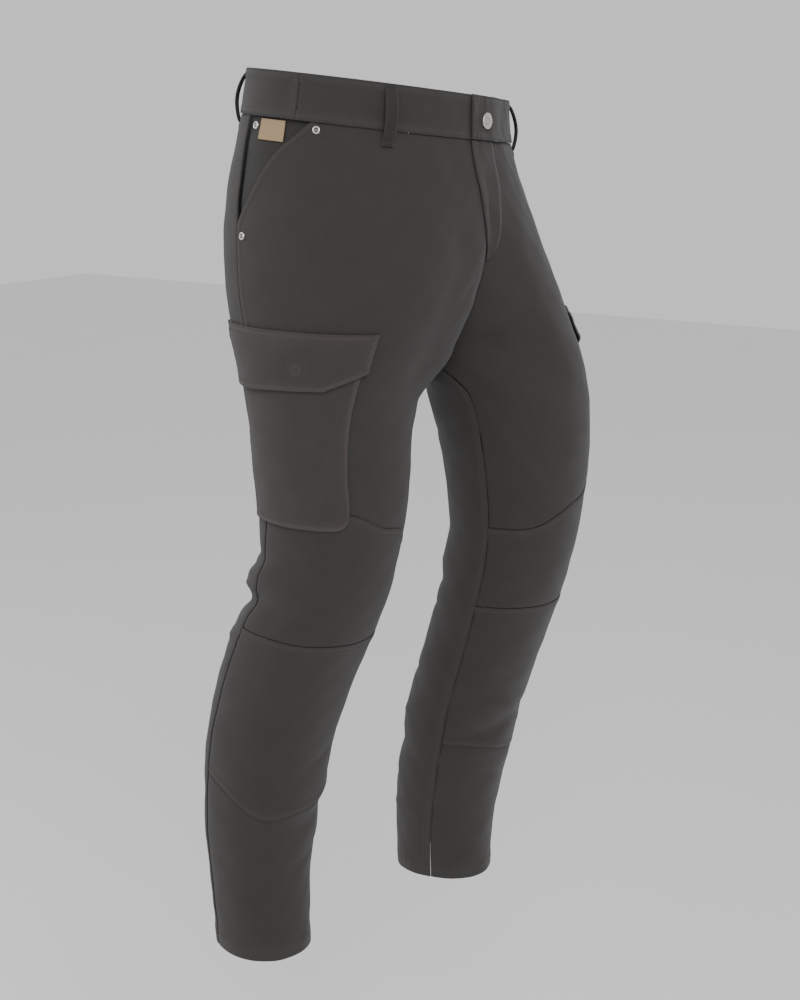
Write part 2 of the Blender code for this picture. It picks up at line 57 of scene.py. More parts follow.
CLOTH = 0.0013
SEAM_GAP = 0.0003
WAIST_SEAM = -0.047
HEM = -0.980
FORK = -0.275
APART = -0.340
HIP_TILT = 0.08
BACK_RISE = 0.09
LEAN_DEPTH = 0.30
ROUNDNESS = 2.2
FIXED_FRONT = 120.0
FIXED_BACK = 240.0
SIDE_SEAM = 205.0
BAND_SEAM = 177.0

LEVEL_NAMES = ("height", "centre_x", "half_width", "depth_right", "depth_left",
               "y_right", "y_left", "turn")
LEVELS = (
    (0.006, 0.000, 0.159, 0.126, 0.126, 0.002, 0.002, 0),
    (-0.047, 0.000, 0.165, 0.131, 0.131, 0.006, 0.004, 0),
    (-0.080, 0.012, 0.160, 0.134, 0.134, 0.007, 0.001, 0),
    (-0.120, 0.030, 0.150, 0.137, 0.137, 0.007, -0.004, 0),
    (-0.160, 0.050, 0.137, 0.137, 0.137, 0.005, -0.013, 0),
    (-0.200, 0.070, 0.124, 0.132, 0.132, 0.000, -0.026, 0),
    (-0.235, 0.085, 0.113, 0.124, 0.124, -0.004, -0.042, 0),
    (-0.265, 0.095, 0.102, 0.112, 0.112, -0.005, -0.062, 1),
    (-0.275, 0.098, 0.098, 0.108, 0.108, -0.005, -0.069, 1),
    (-0.300, 0.100, 0.094, 0.099, 0.100, -0.004, -0.087, 2),
    (-0.340, 0.103, 0.087, 0.088, 0.094, -0.002, -0.102, 3),
    (-0.390, 0.106, 0.084, 0.083, 0.088, -0.004, -0.111, 4),
    (-0.440, 0.110, 0.078, 0.081, 0.082, -0.007, -0.113, 4),
    (-0.490, 0.113, 0.074, 0.078, 0.077, -0.004, -0.111, 5),
    (-0.540, 0.117, 0.072, 0.078, 0.074, 0.006, -0.102, 6),
    (-0.590, 0.120, 0.072, 0.081, 0.073, 0.026, -0.088, 7),
    (-0.640, 0.124, 0.070, 0.080, 0.071, 0.046, -0.071, 8),
    (-0.690, 0.127, 0.068, 0.078, 0.071, 0.062, -0.053, 9),
    (-0.740, 0.131, 0.066, 0.075, 0.070, 0.073, -0.036, 10),
    (-0.790, 0.134, 0.063, 0.072, 0.069, 0.079, -0.023, 11),
    (-0.840, 0.138, 0.060, 0.066, 0.067, 0.082, -0.011, 12),
    (-0.890, 0.141, 0.055, 0.061, 0.064, 0.082, -0.002, 12),
    (-0.940, 0.144, 0.052, 0.058, 0.061, 0.078, 0.003, 12),
    (-0.990, 0.147, 0.051, 0.057, 0.060, 0.074, 0.004, 12),
)


class Side(Enum):
    """The wearer's side that a piece is on."""

    RIGHT = -1
    LEFT = 1

    @property
    def word(self) -> str:
        """The side's name as the nodes spell it."""
        return self.name.lower()


class Edge(Enum):
    """How one edge of a cloth piece is finished."""

    OVER = "laps its neighbour with a welt and two rows of stitching"
    UNDER = "lies under its neighbour's welt"
    FOLD = "turned in and stitched down, a loose edge"
    HEM = "turned up and stitched once"
    PLAIN = "a plain closed edge"


@dataclass(frozen=True)
class Fold:
    """A broad fold that the solids have too.

    A ridge has a positive depth and a trough a negative one.  The spread is in degrees
    round the leg, the reach in metres up the leg, and the drop in metres a degree.
    """

    side: int
    angle: float
    height: float
    spread: float
    reach: float
    drop: float
    depth: float


@dataclass(frozen=True)
class Crease:
    """A soft crease placed between two places on the skin.

    start and end are (station, height); width and bow are in metres, and a ridge has a
    positive depth.
    """

    side: int
    start: tuple[float, float]
    end: tuple[float, float]
    width: float
    depth: float
    bow: float = 0.0


FOLDS = (
    Fold(-1, 245, -0.528, 55, 0.017, 0.00010, 0.0060),
    Fold(-1, 240, -0.558, 60, 0.011, 0.00012, -0.0065),
    Fold(-1, 235, -0.500, 45, 0.010, -0.00010, -0.0035),
    Fold(1, 245, -0.540, 55, 0.017, 0.00010, 0.0045),
    Fold(1, 245, -0.568, 55, 0.011, 0.00012, -0.0050),
    Fold(1, 250, -0.510, 45, 0.012, -0.00010, -0.0030),
    Fold(-1, 60, -0.810, 45, 0.014, 0.00020, -0.0030),
    Fold(1, 60, -0.760, 60, 0.013, -0.00035, -0.0035),
    Fold(1, 280, -0.800, 50, 0.016, 0.00020, -0.0030),
    Fold(-1, 300, -0.820, 50, 0.016, 0.00020, -0.0030),
    Fold(-1, 300, -0.330, 40, 0.016, 0.00040, -0.0035),
    Fold(1, 300, -0.330, 40, 0.016, 0.00040, -0.0035),
)

CREASES = (
    # behind the right knee, where the cloth stacks
    Crease(-1, (205, -0.505), (285, -0.520), 0.0060, -0.0030, 0.006),
    Crease(-1, (200, -0.538), (270, -0.548), 0.0050, 0.0030, -0.004),
    Crease(-1, (214, -0.575), (300, -0.560), 0.0055, -0.0028, -0.008),
    Crease(-1, (196, -0.600), (262, -0.592), 0.0050, 0.0026, 0.005),
    Crease(-1, (225, -0.630), (315, -0.612), 0.0070, -0.0022, 0.006),
    # behind the left knee
    Crease(1, (205, -0.520), (280, -0.535), 0.0060, -0.0026, 0.006),
    Crease(1, (215, -0.560), (295, -0.552), 0.0055, 0.0026, -0.005),
    Crease(1, (198, -0.592), (268, -0.585), 0.0055, -0.0026, 0.005),
    Crease(1, (232, -0.622), (322, -0.606), 0.0070, -0.0020, -0.004),
    # pulls from the fork down the inside of both thighs
    Crease(-1, (8, -0.262), (52, -0.318), 0.0080, -0.0026, 0.006),
    Crease(-1, (14, -0.296), (66, -0.372), 0.0090, 0.0020, -0.006),
    Crease(-1, (2, -0.330), (40, -0.420), 0.0090, -0.0022, 0.005),
    Crease(1, (10, -0.258), (60, -0.300), 0.0080, -0.0026, -0.006),
    Crease(1, (12, -0.300), (72, -0.345), 0.0090, 0.0022, 0.006),
    Crease(1, (4, -0.345), (50, -0.430), 0.0100, -0.0020, -0.005),
    # fans at the foot of the fly
    Crease(-1, (20, -0.190), (62, -0.232), 0.0070, -0.0014, 0.004),
    Crease(-1, (16, -0.222), (70, -0.262), 0.0070, 0.0012, -0.004),
    Crease(1, (18, -0.196), (60, -0.226), 0.0070, -0.0014, -0.004),
    # drag lines across the seat
    Crease(-1, (300, -0.235), (348, -0.262), 0.0100, -0.0030, 0.006),
    Crease(-1, (268, -0.300), (346, -0.285), 0.0110, 0.0026, -0.008),
    Crease(-1, (250, -0.335), (338, -0.318), 0.0090, -0.0026, 0.008),
    Crease(-1, (290, -0.380), (350, -0.352), 0.0090, -0.0018, -0.006),
    Crease(1, (296, -0.240), (349, -0.266), 0.0100, -0.0030, -0.006),
    Crease(1, (262, -0.306), (344, -0.292), 0.0110, 0.0024, 0.008),
    Crease(1, (254, -0.345), (340, -0.322), 0.0090, -0.0026, -0.008),
    Crease(1, (284, -0.392), (350, -0.362), 0.0090, -0.0018, 0.006),
    # down the shins
    Crease(-1, (40, -0.700), (96, -0.745), 0.0090, -0.0018, 0.006),
    Crease(-1, (22, -0.764), (84, -0.812), 0.0080, 0.0018, -0.005),
    Crease(-1, (36, -0.846), (104, -0.872), 0.0080, -0.0014, 0.004),
    Crease(1, (34, -0.672), (104, -0.724), 0.0090, -0.0026, 0.006),
    Crease(1, (28, -0.716), (110, -0.772), 0.0085, 0.0026, -0.006),
    Crease(1, (20, -0.752), (92, -0.806), 0.0090, -0.0026, 0.005),
    Crease(1, (40, -0.824), (116, -0.850), 0.0080, -0.0014, -0.004),
    # down the calves
    Crease(-1, (232, -0.700), (318, -0.724), 0.0100, -0.0020, 0.008),
    Crease(-1, (252, -0.772), (338, -0.752), 0.0090, 0.0020, -0.006),
    Crease(-1, (226, -0.842), (300, -0.866), 0.0080, -0.0020, 0.005),
    Crease(-1, (262, -0.900), (332, -0.884), 0.0070, 0.0014, -0.004),
    Crease(1, (238, -0.690), (322, -0.716), 0.0100, -0.0020, -0.008),
    Crease(1, (248, -0.760), (334, -0.742), 0.0090, 0.0020, 0.006),
    Crease(1, (228, -0.834), (304, -0.858), 0.0080, -0.0020, -0.005),
    Crease(1, (260, -0.894), (330, -0.878), 0.0070, 0.0014, 0.004),
)


def smooth(share: Numbers) -> Numbers:
    """Return shares from 0 to 1 eased at both ends."""
    share = np.clip(share, 0.0, 1.0)
    return share * share * (3.0 - 2.0 * share)


def bell(distance: Numbers, middle: float, width: float) -> Numbers:
    """Return a soft bell that is 1 at its middle."""
    return np.exp(-((distance - middle) / width) ** 2)


class Skin:
    """The one surface that every cloth piece lies on."""

    def __init__(self) -> None:
        """Work out the levels every half millimetre, on a cubic through the table."""
        table = np.array(LEVELS)[::-1]
        self.heights = np.arange(table[0, 0], table[-1, 0] + 1e-9, 0.0005)
        self.columns = {}
        marks = table[:, 0]
        last = len(marks) - 1
        index = np.clip(np.searchsorted(marks, self.heights, side="right") - 1, 0, last - 1)
        span = marks[index + 1] - marks[index]
        share = (self.heights - marks[index]) / span
        before, after = np.maximum(index - 1, 0), np.minimum(index + 2, last)
        for column, name in enumerate(LEVEL_NAMES[1:], start=1):
            values = table[:, column]
            low, high = values[index], values[index + 1]
            slope_in = (high - values[before]) / (marks[index + 1] - marks[before]) * span
            slope_out = (values[after] - low) / (marks[after] - marks[index]) * span
            self.columns[name] = (
                (2 * share ** 3 - 3 * share ** 2 + 1) * low
                + (share ** 3 - 2 * share ** 2 + share) * slope_in
                + (3 * share ** 2 - 2 * share ** 3) * high
                + (share ** 3 - share ** 2) * slope_out)

    def level(self, name: str, height: Numbers) -> Numbers:
        """Return one of the table's columns at some heights."""
        return np.interp(height, self.heights, self.columns[name])

    def angle(self, station: Numbers, height: Numbers) -> Numbers:
        """Return the real angles of stations, crowded between X = 0 and the fixed stretch."""
        reach = (self.level("centre_x", height) - SEAM_GAP / 2) / self.level("half_width", height)
        start = np.where(reach >= 1.0, 0.0,
                         np.degrees(np.arccos(np.clip(reach, 0.0, 1.0) ** (ROUNDNESS / 2))))
        front = start + station / FIXED_FRONT * (FIXED_FRONT - start)
        span = 360.0 - FIXED_BACK
        back = FIXED_BACK + (station - FIXED_BACK) / span * (span - start)
        return np.radians(np.where(station < FIXED_FRONT, front,
                                   np.where(station > FIXED_BACK, back, station)))

    @staticmethod
    def bump(side: Numbers, station: Numbers, height: Numbers) -> Numbers:
        """Return how far the folds and creases move the skin out."""
        total = np.zeros(np.broadcast(side, station, height).shape)
        for fold in FOLDS:
            turn = station - fold.angle
            rise = (height - fold.height + fold.drop * turn) / fold.reach
            total += np.where(side == fold.side, fold.depth
                              * np.exp(-(turn / fold.spread) ** 2 - rise * rise), 0.0)
        pitch = 0.00100 + 0.00038 * smooth((height + 0.95) / 0.6)
        for crease in CREASES:
            along_x = (crease.end[0] - crease.start[0]) * pitch
            along_y = crease.end[1] - crease.start[1]
            across_x = (station - crease.start[0]) * pitch
            across_y = height - crease.start[1]
            length = np.sqrt(along_x ** 2 + along_y ** 2)
            share = (across_x * along_x + across_y * along_y) / length ** 2
            swell = np.sin(np.pi * np.clip(share, 0.0, 1.0))
            away = (across_x * along_y - across_y * along_x) / length - crease.bow * swell
            width = crease.width * (0.55 + 0.45 * swell)
            total += np.where(side == crease.side, crease.depth * swell ** 0.8
                              / (1.0 + (away / width) ** 2) ** 1.5, 0.0)
        wave = (np.sin(station * 0.071 + height * 61.0 + side)
                + np.sin(station * 0.113 - height * 87.0 + 2.1 * side)
                + 0.7 * np.sin(station * 0.197 + height * 141.0 + 4.0)
                + 0.5 * np.sin(height * 203.0 - station * 0.041 + 1.3 * side))
        return total + 0.00022 * wave

    def at(self, side: Numbers, station: Numbers, height: Numbers) -> Numbers:
        """Return the points of the skin at stations and heights of one or both sides.

        Args:
            side: -1 on the wearer's right and 1 on the left.
            station: degrees round the leg.
            height: metres.

        Returns:
            The points, with their coordinates in the last axis.
        """
        side, station, height = np.broadcast_arrays(
            np.asarray(side, float), np.asarray(station, float), np.asarray(height, float))
        angle = self.angle(station, height)
        bump = self.bump(side, station, height)
        right = side < 0
        depth = np.where(right, self.level("depth_right", height), self.level("depth_left", height))
        own = np.where(right, self.level("y_right", height), self.level("y_left", height))
        centre = self.level("centre_x", height)
        cosine, sine = np.cos(angle), np.sin(angle)
        bend = 2.0 / ROUNDNESS
        inward = (self.level("half_width", height) + bump) * np.sign(cosine) * np.abs(cosine) ** bend
        ahead = (depth + bump) * np.sign(sine) * np.abs(sine) ** bend
        turn = np.radians(self.level("turn", height))
        across = inward * np.cos(turn) - ahead * np.sin(turn)
        ahead = inward * np.sin(turn) + ahead * np.cos(turn)
        offset = centre - across
        shared = (self.level("y_right", height) + self.level("y_left", height)) / 2
        joined = smooth((height - APART) / (FORK - APART))
        pull = 1.0 - joined * (1.0 - smooth(offset / np.maximum(centre, 0.06)))
        across_x = side * np.maximum(offset, SEAM_GAP / 2)
        along_y = shared + (own - shared) * pull - ahead
        lean = smooth(1.0 + height / LEAN_DEPTH)
        lift = lean * (BACK_RISE * along_y - HIP_TILT * across_x)
        return np.stack((across_x, along_y, height + lift), axis=-1)

    def normal(self, side: Numbers, station: Numbers, height: Numbers) -> Numbers:
        """Return the outward directions of the skin."""
        side, station, height = np.broadcast_arrays(
            np.asarray(side, float), np.asarray(station, float), np.asarray(height, float))
        early, late = np.maximum(station - 1.5, 0.0), np.minimum(station + 1.5, 360.0)
        round_leg = self.at(side, late, height) - self.at(side, early, height)
        down_leg = self.at(side, station, height - 0.004) - self.at(side, station, height + 0.004)
        out = np.cross(round_leg, down_leg) * -side[..., None]
        return out / np.maximum(np.linalg.norm(out, axis=-1, keepdims=True), 1e-12)

    def place(self, side: Numbers, station: Numbers, height: Numbers, lift: Numbers) -> Numbers:
        """Return points moved out by a lift, never across the plane X = 0."""
        side = np.broadcast_to(np.asarray(side, float), np.shape(station))
        points = self.at(side, station, height) \
            + self.normal(side, station, height) * np.asarray(lift)[..., None]
        crossed = side * points[..., 0] < SEAM_GAP / 4
        points[..., 0] = np.where(crossed, side * SEAM_GAP / 4, points[..., 0])
        return points

    def degrees(self, side: int, station: float, height: float, length: float) -> float:
        """Return how many degrees of station span a length at one place."""
        pair = self.at(side, np.array([station - 1.0, station + 1.0]), height)
        return 2.0 * length / float(np.linalg.norm(pair[1] - pair[0]))


SKIN = Skin()


class Value:
    """One socket of a node tree, with arithmetic that adds Math nodes."""

    def __init__(self, maker: "Maker", socket: bpy.types.NodeSocket) -> None:
        """Keep the socket and the maker of its tree."""
        self.maker = maker
        self.socket = socket

    def maths(self, operation: str, *others: "Value | float") -> "Value":
        """Return the result of a Math node on this value and others."""
        return self.maker.node("ShaderNodeMath", {"operation": operation}, self, *others)

    def __add__(self, other: "Value | float") -> "Value":
        """Return the sum."""
        return self.maths("ADD", other)

    __radd__ = __add__

    def __sub__(self, other: "Value | float") -> "Value":
        """Return the difference."""
        return self.maths("SUBTRACT", other)

    def __rsub__(self, other: float) -> "Value":
        """Return a number less this value."""
        return self.maths("MULTIPLY_ADD", -1.0, other)

    def __mul__(self, other: "Value | float") -> "Value":
        """Return the product."""
        return self.maths("MULTIPLY", other)

    __rmul__ = __mul__

    def __pow__(self, other: float) -> "Value":
        """Return the power."""
        return self.maths("POWER", other)

    def sine(self) -> "Value":
        """Return the sine."""
        return self.maths("SINE")

    def held(self) -> "Value":
        """Return the value held between 0 and 1."""
        result = self.maths("ADD", 0.0)
        result.socket.node.use_clamp = True
        return result


class Maker:
    """Adds nodes to one material."""

    def __init__(self, name: str) -> None:
        """Start a material with its Principled shader."""
        self.material = bpy.data.materials.new(name)
        self.material.use_nodes = True
        self.tree = self.material.node_tree
        self.shader = self.tree.nodes["Principled BSDF"]

    def node(self, kind: str, settings: dict[str, object], *values: object,
             out: int | str = 0, **named: object) -> Value:
        """Add a node.

        Args:
            kind: the node's type.
            settings: properties that are set before its sockets.
            values: what goes into its first sockets, in order.
            out: the output to return.
            named: what goes into sockets by name, with _ for a space.

        Returns:
            The output's value.
        """
        node = self.tree.nodes.new(kind)
        for name, setting in settings.items():
            setattr(node, name, setting)
        pairs = list(zip(node.inputs, values))
        pairs += [(node.inputs[name.replace("_", " ")], value) for name, value in named.items()]
        for socket, value in pairs:
            if isinstance(value, Value):
                self.tree.links.new(value.socket, socket)
            else:
                socket.default_value = value
        return Value(self, node.outputs[out])

    def mix(self, share: Value | float, first: object, second: object) -> Value:
        """Return two colours mixed by a share."""
        node = self.tree.nodes.new("ShaderNodeMix")
        node.data_type = "RGBA"
        for socket, value in ((node.inputs[0], share), (node.inputs[6], first),
                              (node.inputs[7], second)):
            if isinstance(value, Value):
                self.tree.links.new(value.socket, socket)
            else:
                socket.default_value = value
        return Value(self, node.outputs[2])

    def feed(self, **inputs: object) -> None:
        """Feed the shader's sockets, with _ for a space in their names."""
        for name, value in inputs.items():
            socket = self.shader.inputs[name.replace("_", " ")]
            if isinstance(value, Value):
                self.tree.links.new(value.socket, socket)
            else:
                socket.default_value = value

    def bump(self, height: Value, strength: float, distance: float) -> Value:
        """Return a bumped normal."""
        return self.node("ShaderNodeBump", {}, Height=height, Strength=strength, Distance=distance)


def rgba(colour: tuple[float, float, float], share: float = 1.0) -> tuple[float, ...]:
    """Return a colour with its brightness scaled and an alpha of 1."""
    return (colour[0] * share, colour[1] * share, colour[2] * share, 1.0)


@dataclass(frozen=True)
class Twill:
    """Dyed cotton twill, whose weave follows the piece's own map in metres."""

    name: str
    colour: tuple[float, float, float]
    wale: float = 0.00085
    roughness: float = 0.86
    wear: float = 0.45
    mottle: float = 0.16

    def make(self) -> bpy.types.Material:
        """Return the twill's material."""
        maker = Maker(self.name)
        weave = maker.node("ShaderNodeUVMap", {"uv_map": "weave"})
        split = maker.tree.nodes.new("ShaderNodeSeparateXYZ")
        maker.tree.links.new(weave.socket, split.inputs[0])
        across, along = Value(maker, split.outputs[0]), Value(maker, split.outputs[1])
        turn = 2.0 * math.pi / self.wale
        jitter = maker.node("ShaderNodeTexNoise", {}, Vector=weave, Scale=420.0, Detail=2.0)
        diagonal = (across * (0.86 * turn) + along * (0.50 * turn) + jitter * 2.6).sine()
        floats = (across * (0.50 * turn * 0.5) - along * (0.86 * turn * 0.5)).sine()
        ribs = diagonal * 0.5 + 0.5
        yarn = ribs * 0.8 + (floats * 0.5 + 0.5) * 0.2
        stretched = maker.node("ShaderNodeMapping", {}, Vector=weave, Scale=(620.0, 46.0, 1.0))
        slub = maker.node("ShaderNodeTexNoise", {}, Vector=stretched, Scale=1.0, Detail=3.0)
        cloud = maker.node("ShaderNodeTexNoise", {}, Vector=weave, Scale=34.0, Detail=4.0,
                           Roughness=0.62)
        grain = maker.node("ShaderNodeTexNoise", {}, Vector=weave, Scale=310.0, Detail=3.0,
                           Roughness=0.7)
        seam = maker.node("ShaderNodeAttribute", {"attribute_name": "seam"}, out="Fac")
        rub = maker.node("ShaderNodeAttribute", {"attribute_name": "rub"}, out="Fac")
        patchy = ((cloud - 0.5) * 1.3 + (slub - 0.5) * 0.9 + (grain - 0.5) * 1.1 + 0.5).held()
        base = maker.mix(patchy, rgba(self.colour, 1.0 - self.mottle),
                         rgba(self.colour, 1.0 + self.mottle))
        ribbed = maker.mix(yarn, rgba(self.colour, 0.80), base)
        worn = ((seam * (grain * 1.2) * 0.55 + rub * 0.8) * self.wear).held()
        colour = maker.mix(worn, ribbed, rgba(self.colour, 2.1))
        height = yarn * 0.55 + slub * 0.22 + grain * 0.35
        maker.feed(Base_Color=colour, Normal=maker.bump(height, 0.55, 0.00026),
                   Roughness=(grain * 0.10 + (self.roughness - 0.05)),
                   Specular_IOR_Level=0.22, Sheen_Weight=0.10, Sheen_Roughness=0.55)
        return maker.material


@dataclass(frozen=True)
class Thread:
    """Polished sewing thread."""

    name: str
    colour: tuple[float, float, float]

    def make(self) -> bpy.types.Material:
        """Return the thread's material."""
        maker = Maker(self.name)
        place = maker.node("ShaderNodeTexCoord", {}, out="Object")
        ply = maker.node("ShaderNodeTexNoise", {}, Vector=place, Scale=2400.0, Detail=2.0)
        maker.feed(Base_Color=maker.mix(ply, rgba(self.colour, 0.8), rgba(self.colour, 1.25)),
                   Roughness=0.55, Normal=maker.bump(ply, 0.4, 0.0001),
                   Specular_IOR_Level=0.35)
        return maker.material


@dataclass(frozen=True)
class Nickel:
    """Brushed nickel-coloured metal, with painted shade, near black and less metallic, in its wells
    and at its foot on the cloth, where a per-point attribute is high.
    """

    name: str
    colour: tuple[float, float, float]

    def make(self) -> bpy.types.Material:
        """Return the metal's material."""
        maker = Maker(self.name)
        place = maker.node("ShaderNodeTexCoord", {}, out="Object")
        brushed = maker.node("ShaderNodeTexNoise", {}, Vector=place, Scale=1900.0, Detail=3.0)
        spots = maker.node("ShaderNodeTexNoise", {}, Vector=place, Scale=640.0, Detail=2.0)
        # painted shade: this attribute darkens the wells and the foot where the metal meets the
        # cloth
        recess = maker.node("ShaderNodeAttribute", {"attribute_name": "recess"}, out="Fac")
        unshaded_metal = maker.mix(spots, rgba(self.colour, 0.82), rgba(self.colour, 1.1))
        maker.feed(Base_Color=maker.mix(recess, unshaded_metal, rgba((0.05, 0.045, 0.04))),
                   Roughness=brushed * 0.16 + recess * 0.3 + 0.24,
                   Metallic=1.0 - recess * 0.4, Normal=maker.bump(brushed, 0.2, 0.00008))
        return maker.material


@dataclass(frozen=True)
class WovenPatch:
    """A plain woven patch: grey below and tan above, with no lettering."""

    name: str
    grey: tuple[float, float, float]
    tan: tuple[float, float, float]
    border: float = 0.0078

    def make(self) -> bpy.types.Material:
        """Return the patch's material."""
        maker = Maker(self.name)
        weave = maker.node("ShaderNodeUVMap", {"uv_map": "weave"})
        split = maker.tree.nodes.new("ShaderNodeSeparateXYZ")
        maker.tree.links.new(weave.socket, split.inputs[0])
        across, along = Value(maker, split.outputs[0]), Value(maker, split.outputs[1])
        ribs = (across * 9000.0).sine() * 0.5 + 0.5
        picks = (along * 11000.0).sine() * 0.5 + 0.5
        soft = maker.node("ShaderNodeTexNoise", {}, Vector=weave, Scale=700.0, Detail=2.0)
        upper = ((along * -1.0 + (soft - 0.5) * 0.0006 + self.border) * 4000.0).held()
        cloth = maker.mix(upper, rgba(self.grey), rgba(self.tan))
        speck = maker.mix(soft, rgba((0.22, 0.15, 0.09)), cloth)
        maker.feed(Base_Color=maker.mix(upper, cloth, speck), Roughness=0.8,
                   Normal=maker.bump(ribs * 0.5 + picks * 0.5, 0.4, 0.0002),
                   Specular_IOR_Level=0.25)
        return maker.material


@dataclass(frozen=True)
class Backdrop:
    """Matt pale studio paint."""

    name: str
    colour: tuple[float, float, float]

    def make(self) -> bpy.types.Material:
        """Return the paint's material."""
        maker = Maker(self.name)
        place = maker.node("ShaderNodeTexCoord", {}, out="Object")
        fleck = maker.node("ShaderNodeTexNoise", {}, Vector=place, Scale=2.0, Detail=2.0)
        maker.feed(Base_Color=maker.mix(fleck, rgba(self.colour, 0.99), rgba(self.colour, 1.01)),
                   Roughness=0.95, Specular_IOR_Level=0.1)
        return maker.material


BLACK = (0.0330, 0.0305, 0.0285)
TWILL = Twill("black_twill_cloth", BLACK)
# lighter than the black twill: painted light of the lit outer thigh, with more real wear and mottle;
# both pockets take it
POCKET_TWILL = Twill("washed_pocket_twill", (0.0400, 0.0345, 0.0325), wear=0.6, mottle=0.20)
# a darker copy of the black twill: on the pocket facings it is painted shade inside the pocket's
# opening; the belt loops take it too
DARK_TWILL = Twill("dark_twill_cloth", (0.0250, 0.0235, 0.0220), wear=0.5)
THREAD = Thread("black_thread", (0.040, 0.037, 0.034))
NICKEL = Nickel("brushed_nickel", (0.66, 0.64, 0.61))
PATCH = WovenPatch("plain_patch", (0.20, 0.20, 0.205), (0.42, 0.30, 0.17))
PAINT = Backdrop("studio_paint", (0.84, 0.84, 0.845))


class Wardrobe:
    """Makes each finish once and keeps it."""

    def __init__(self) -> None:
        """Start empty."""
        self.made: dict[str, bpy.types.Material] = {}

    def of(self, finish: Twill | Thread | Nickel | WovenPatch | Backdrop) -> bpy.types.Material:
        """Return the material of a finish."""
        if finish.name not in self.made:
            self.made[finish.name] = finish.make()
        return self.made[finish.name]


WARDROBE = Wardrobe()

NEAR_EDGE = {
    Edge.OVER: (0.0, 0.0004, 0.0010, 0.0017, 0.0024, 0.0034, 0.0048, 0.0062, 0.0070,
                0.0078, 0.0088, 0.0102, 0.0122),
    Edge.UNDER: (0.0, 0.0008, 0.0018, 0.0035, 0.0060),
    Edge.FOLD: (0.0, 0.0003, 0.0008, 0.0015, 0.0022, 0.0032, 0.0046, 0.0060, 0.0068,
                0.0076, 0.0086, 0.0100, 0.0120),
    Edge.HEM: (0.0, 0.0004, 0.0010, 0.0020, 0.0050, 0.0090, 0.0130, 0.0152, 0.0162,
               0.0172, 0.0182, 0.0196, 0.0215),
    Edge.PLAIN: (0.0, 0.0003, 0.0008, 0.0016),
}
FIRST_ROW = 0.0017
SECOND_ROW = 0.0072
HEM_ROW = 0.0163


def edge_shape(edge: Edge, away: Numbers, along: Numbers) -> tuple[Numbers, Numbers]:
    """Return an edge's rise and fall at distances from it.

    Args:
        edge: how the edge is finished.
        away: distance from the edge, in metres.
        along: distance along the edge, in metres, which places the puckers.

    Returns:
        The welt's rise and the fall of dents and rolled edges, both in metres.
    """
    zero = np.zeros_like(away)
    pucker = np.sin(along * 705.0 + 1.7 * np.sin(along * 93.0)) \
        * (0.55 + 0.45 * np.sin(along * 57.0 + 1.0))
    if edge is Edge.PLAIN:
        return zero, -0.00035 * np.exp(-(away / 0.0006) ** 2)
    if edge is Edge.UNDER:
        near = np.exp(-(away / 0.0065) ** 2)
        return zero, -0.00075 * np.exp(-(away / 0.0019) ** 2) + 0.00012 * pucker * near
    if edge is Edge.HEM:
        rise = 0.00050 * (1.0 - smooth((away - 0.0172) / 0.0022))
        fall = -0.00045 * bell(away, HEM_ROW, 0.0009) - 0.0006 * np.exp(-(away / 0.0007) ** 2)
        return rise, fall + 0.00030 * pucker * np.exp(-((away - 0.012) / 0.009) ** 2)
    rise = 0.00062 * (1.0 - smooth((away - 0.0080) / 0.0018))
    fall = -0.00042 * (bell(away, FIRST_ROW, 0.0006) + bell(away, SECOND_ROW, 0.0007))
    fall = fall - 0.00055 * np.exp(-(away / 0.0005) ** 2)
    return rise, fall + 0.00022 * pucker * np.exp(-((away - 0.0045) / 0.0055) ** 2)


def spaced(length: float, first: Edge, last: Edge, pitch: float) -> Numbers:
    """Return the shares of a span at which a grid has its lines, closer by its edges."""
    start, end = np.array(NEAR_EDGE[first]), np.array(NEAR_EDGE[last])
    room = start[-1] + end[-1]
    if room > 0.8 * length:
        start, end = start * 0.8 * length / room, end * 0.8 * length / room
    middle = length - start[-1] - end[-1]
    count = max(2, int(round(middle / pitch)))
    between = np.linspace(start[-1], length - end[-1], count + 1)[1:-1]
    return np.concatenate((start, between, length - end[::-1])) / length


def dress(piece: bpy.types.Object, finish: Twill | Thread | Nickel | WovenPatch, slot: str,
          *nodes: str) -> bpy.types.Object:
    """Give a piece its material and its body, and hide the nodes that it stands for."""
    piece.data.materials.clear()
    piece.data.materials.append(WARDROBE.of(finish))
    if nodes:
        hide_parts(*nodes)
    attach(piece, "root")
    return piece


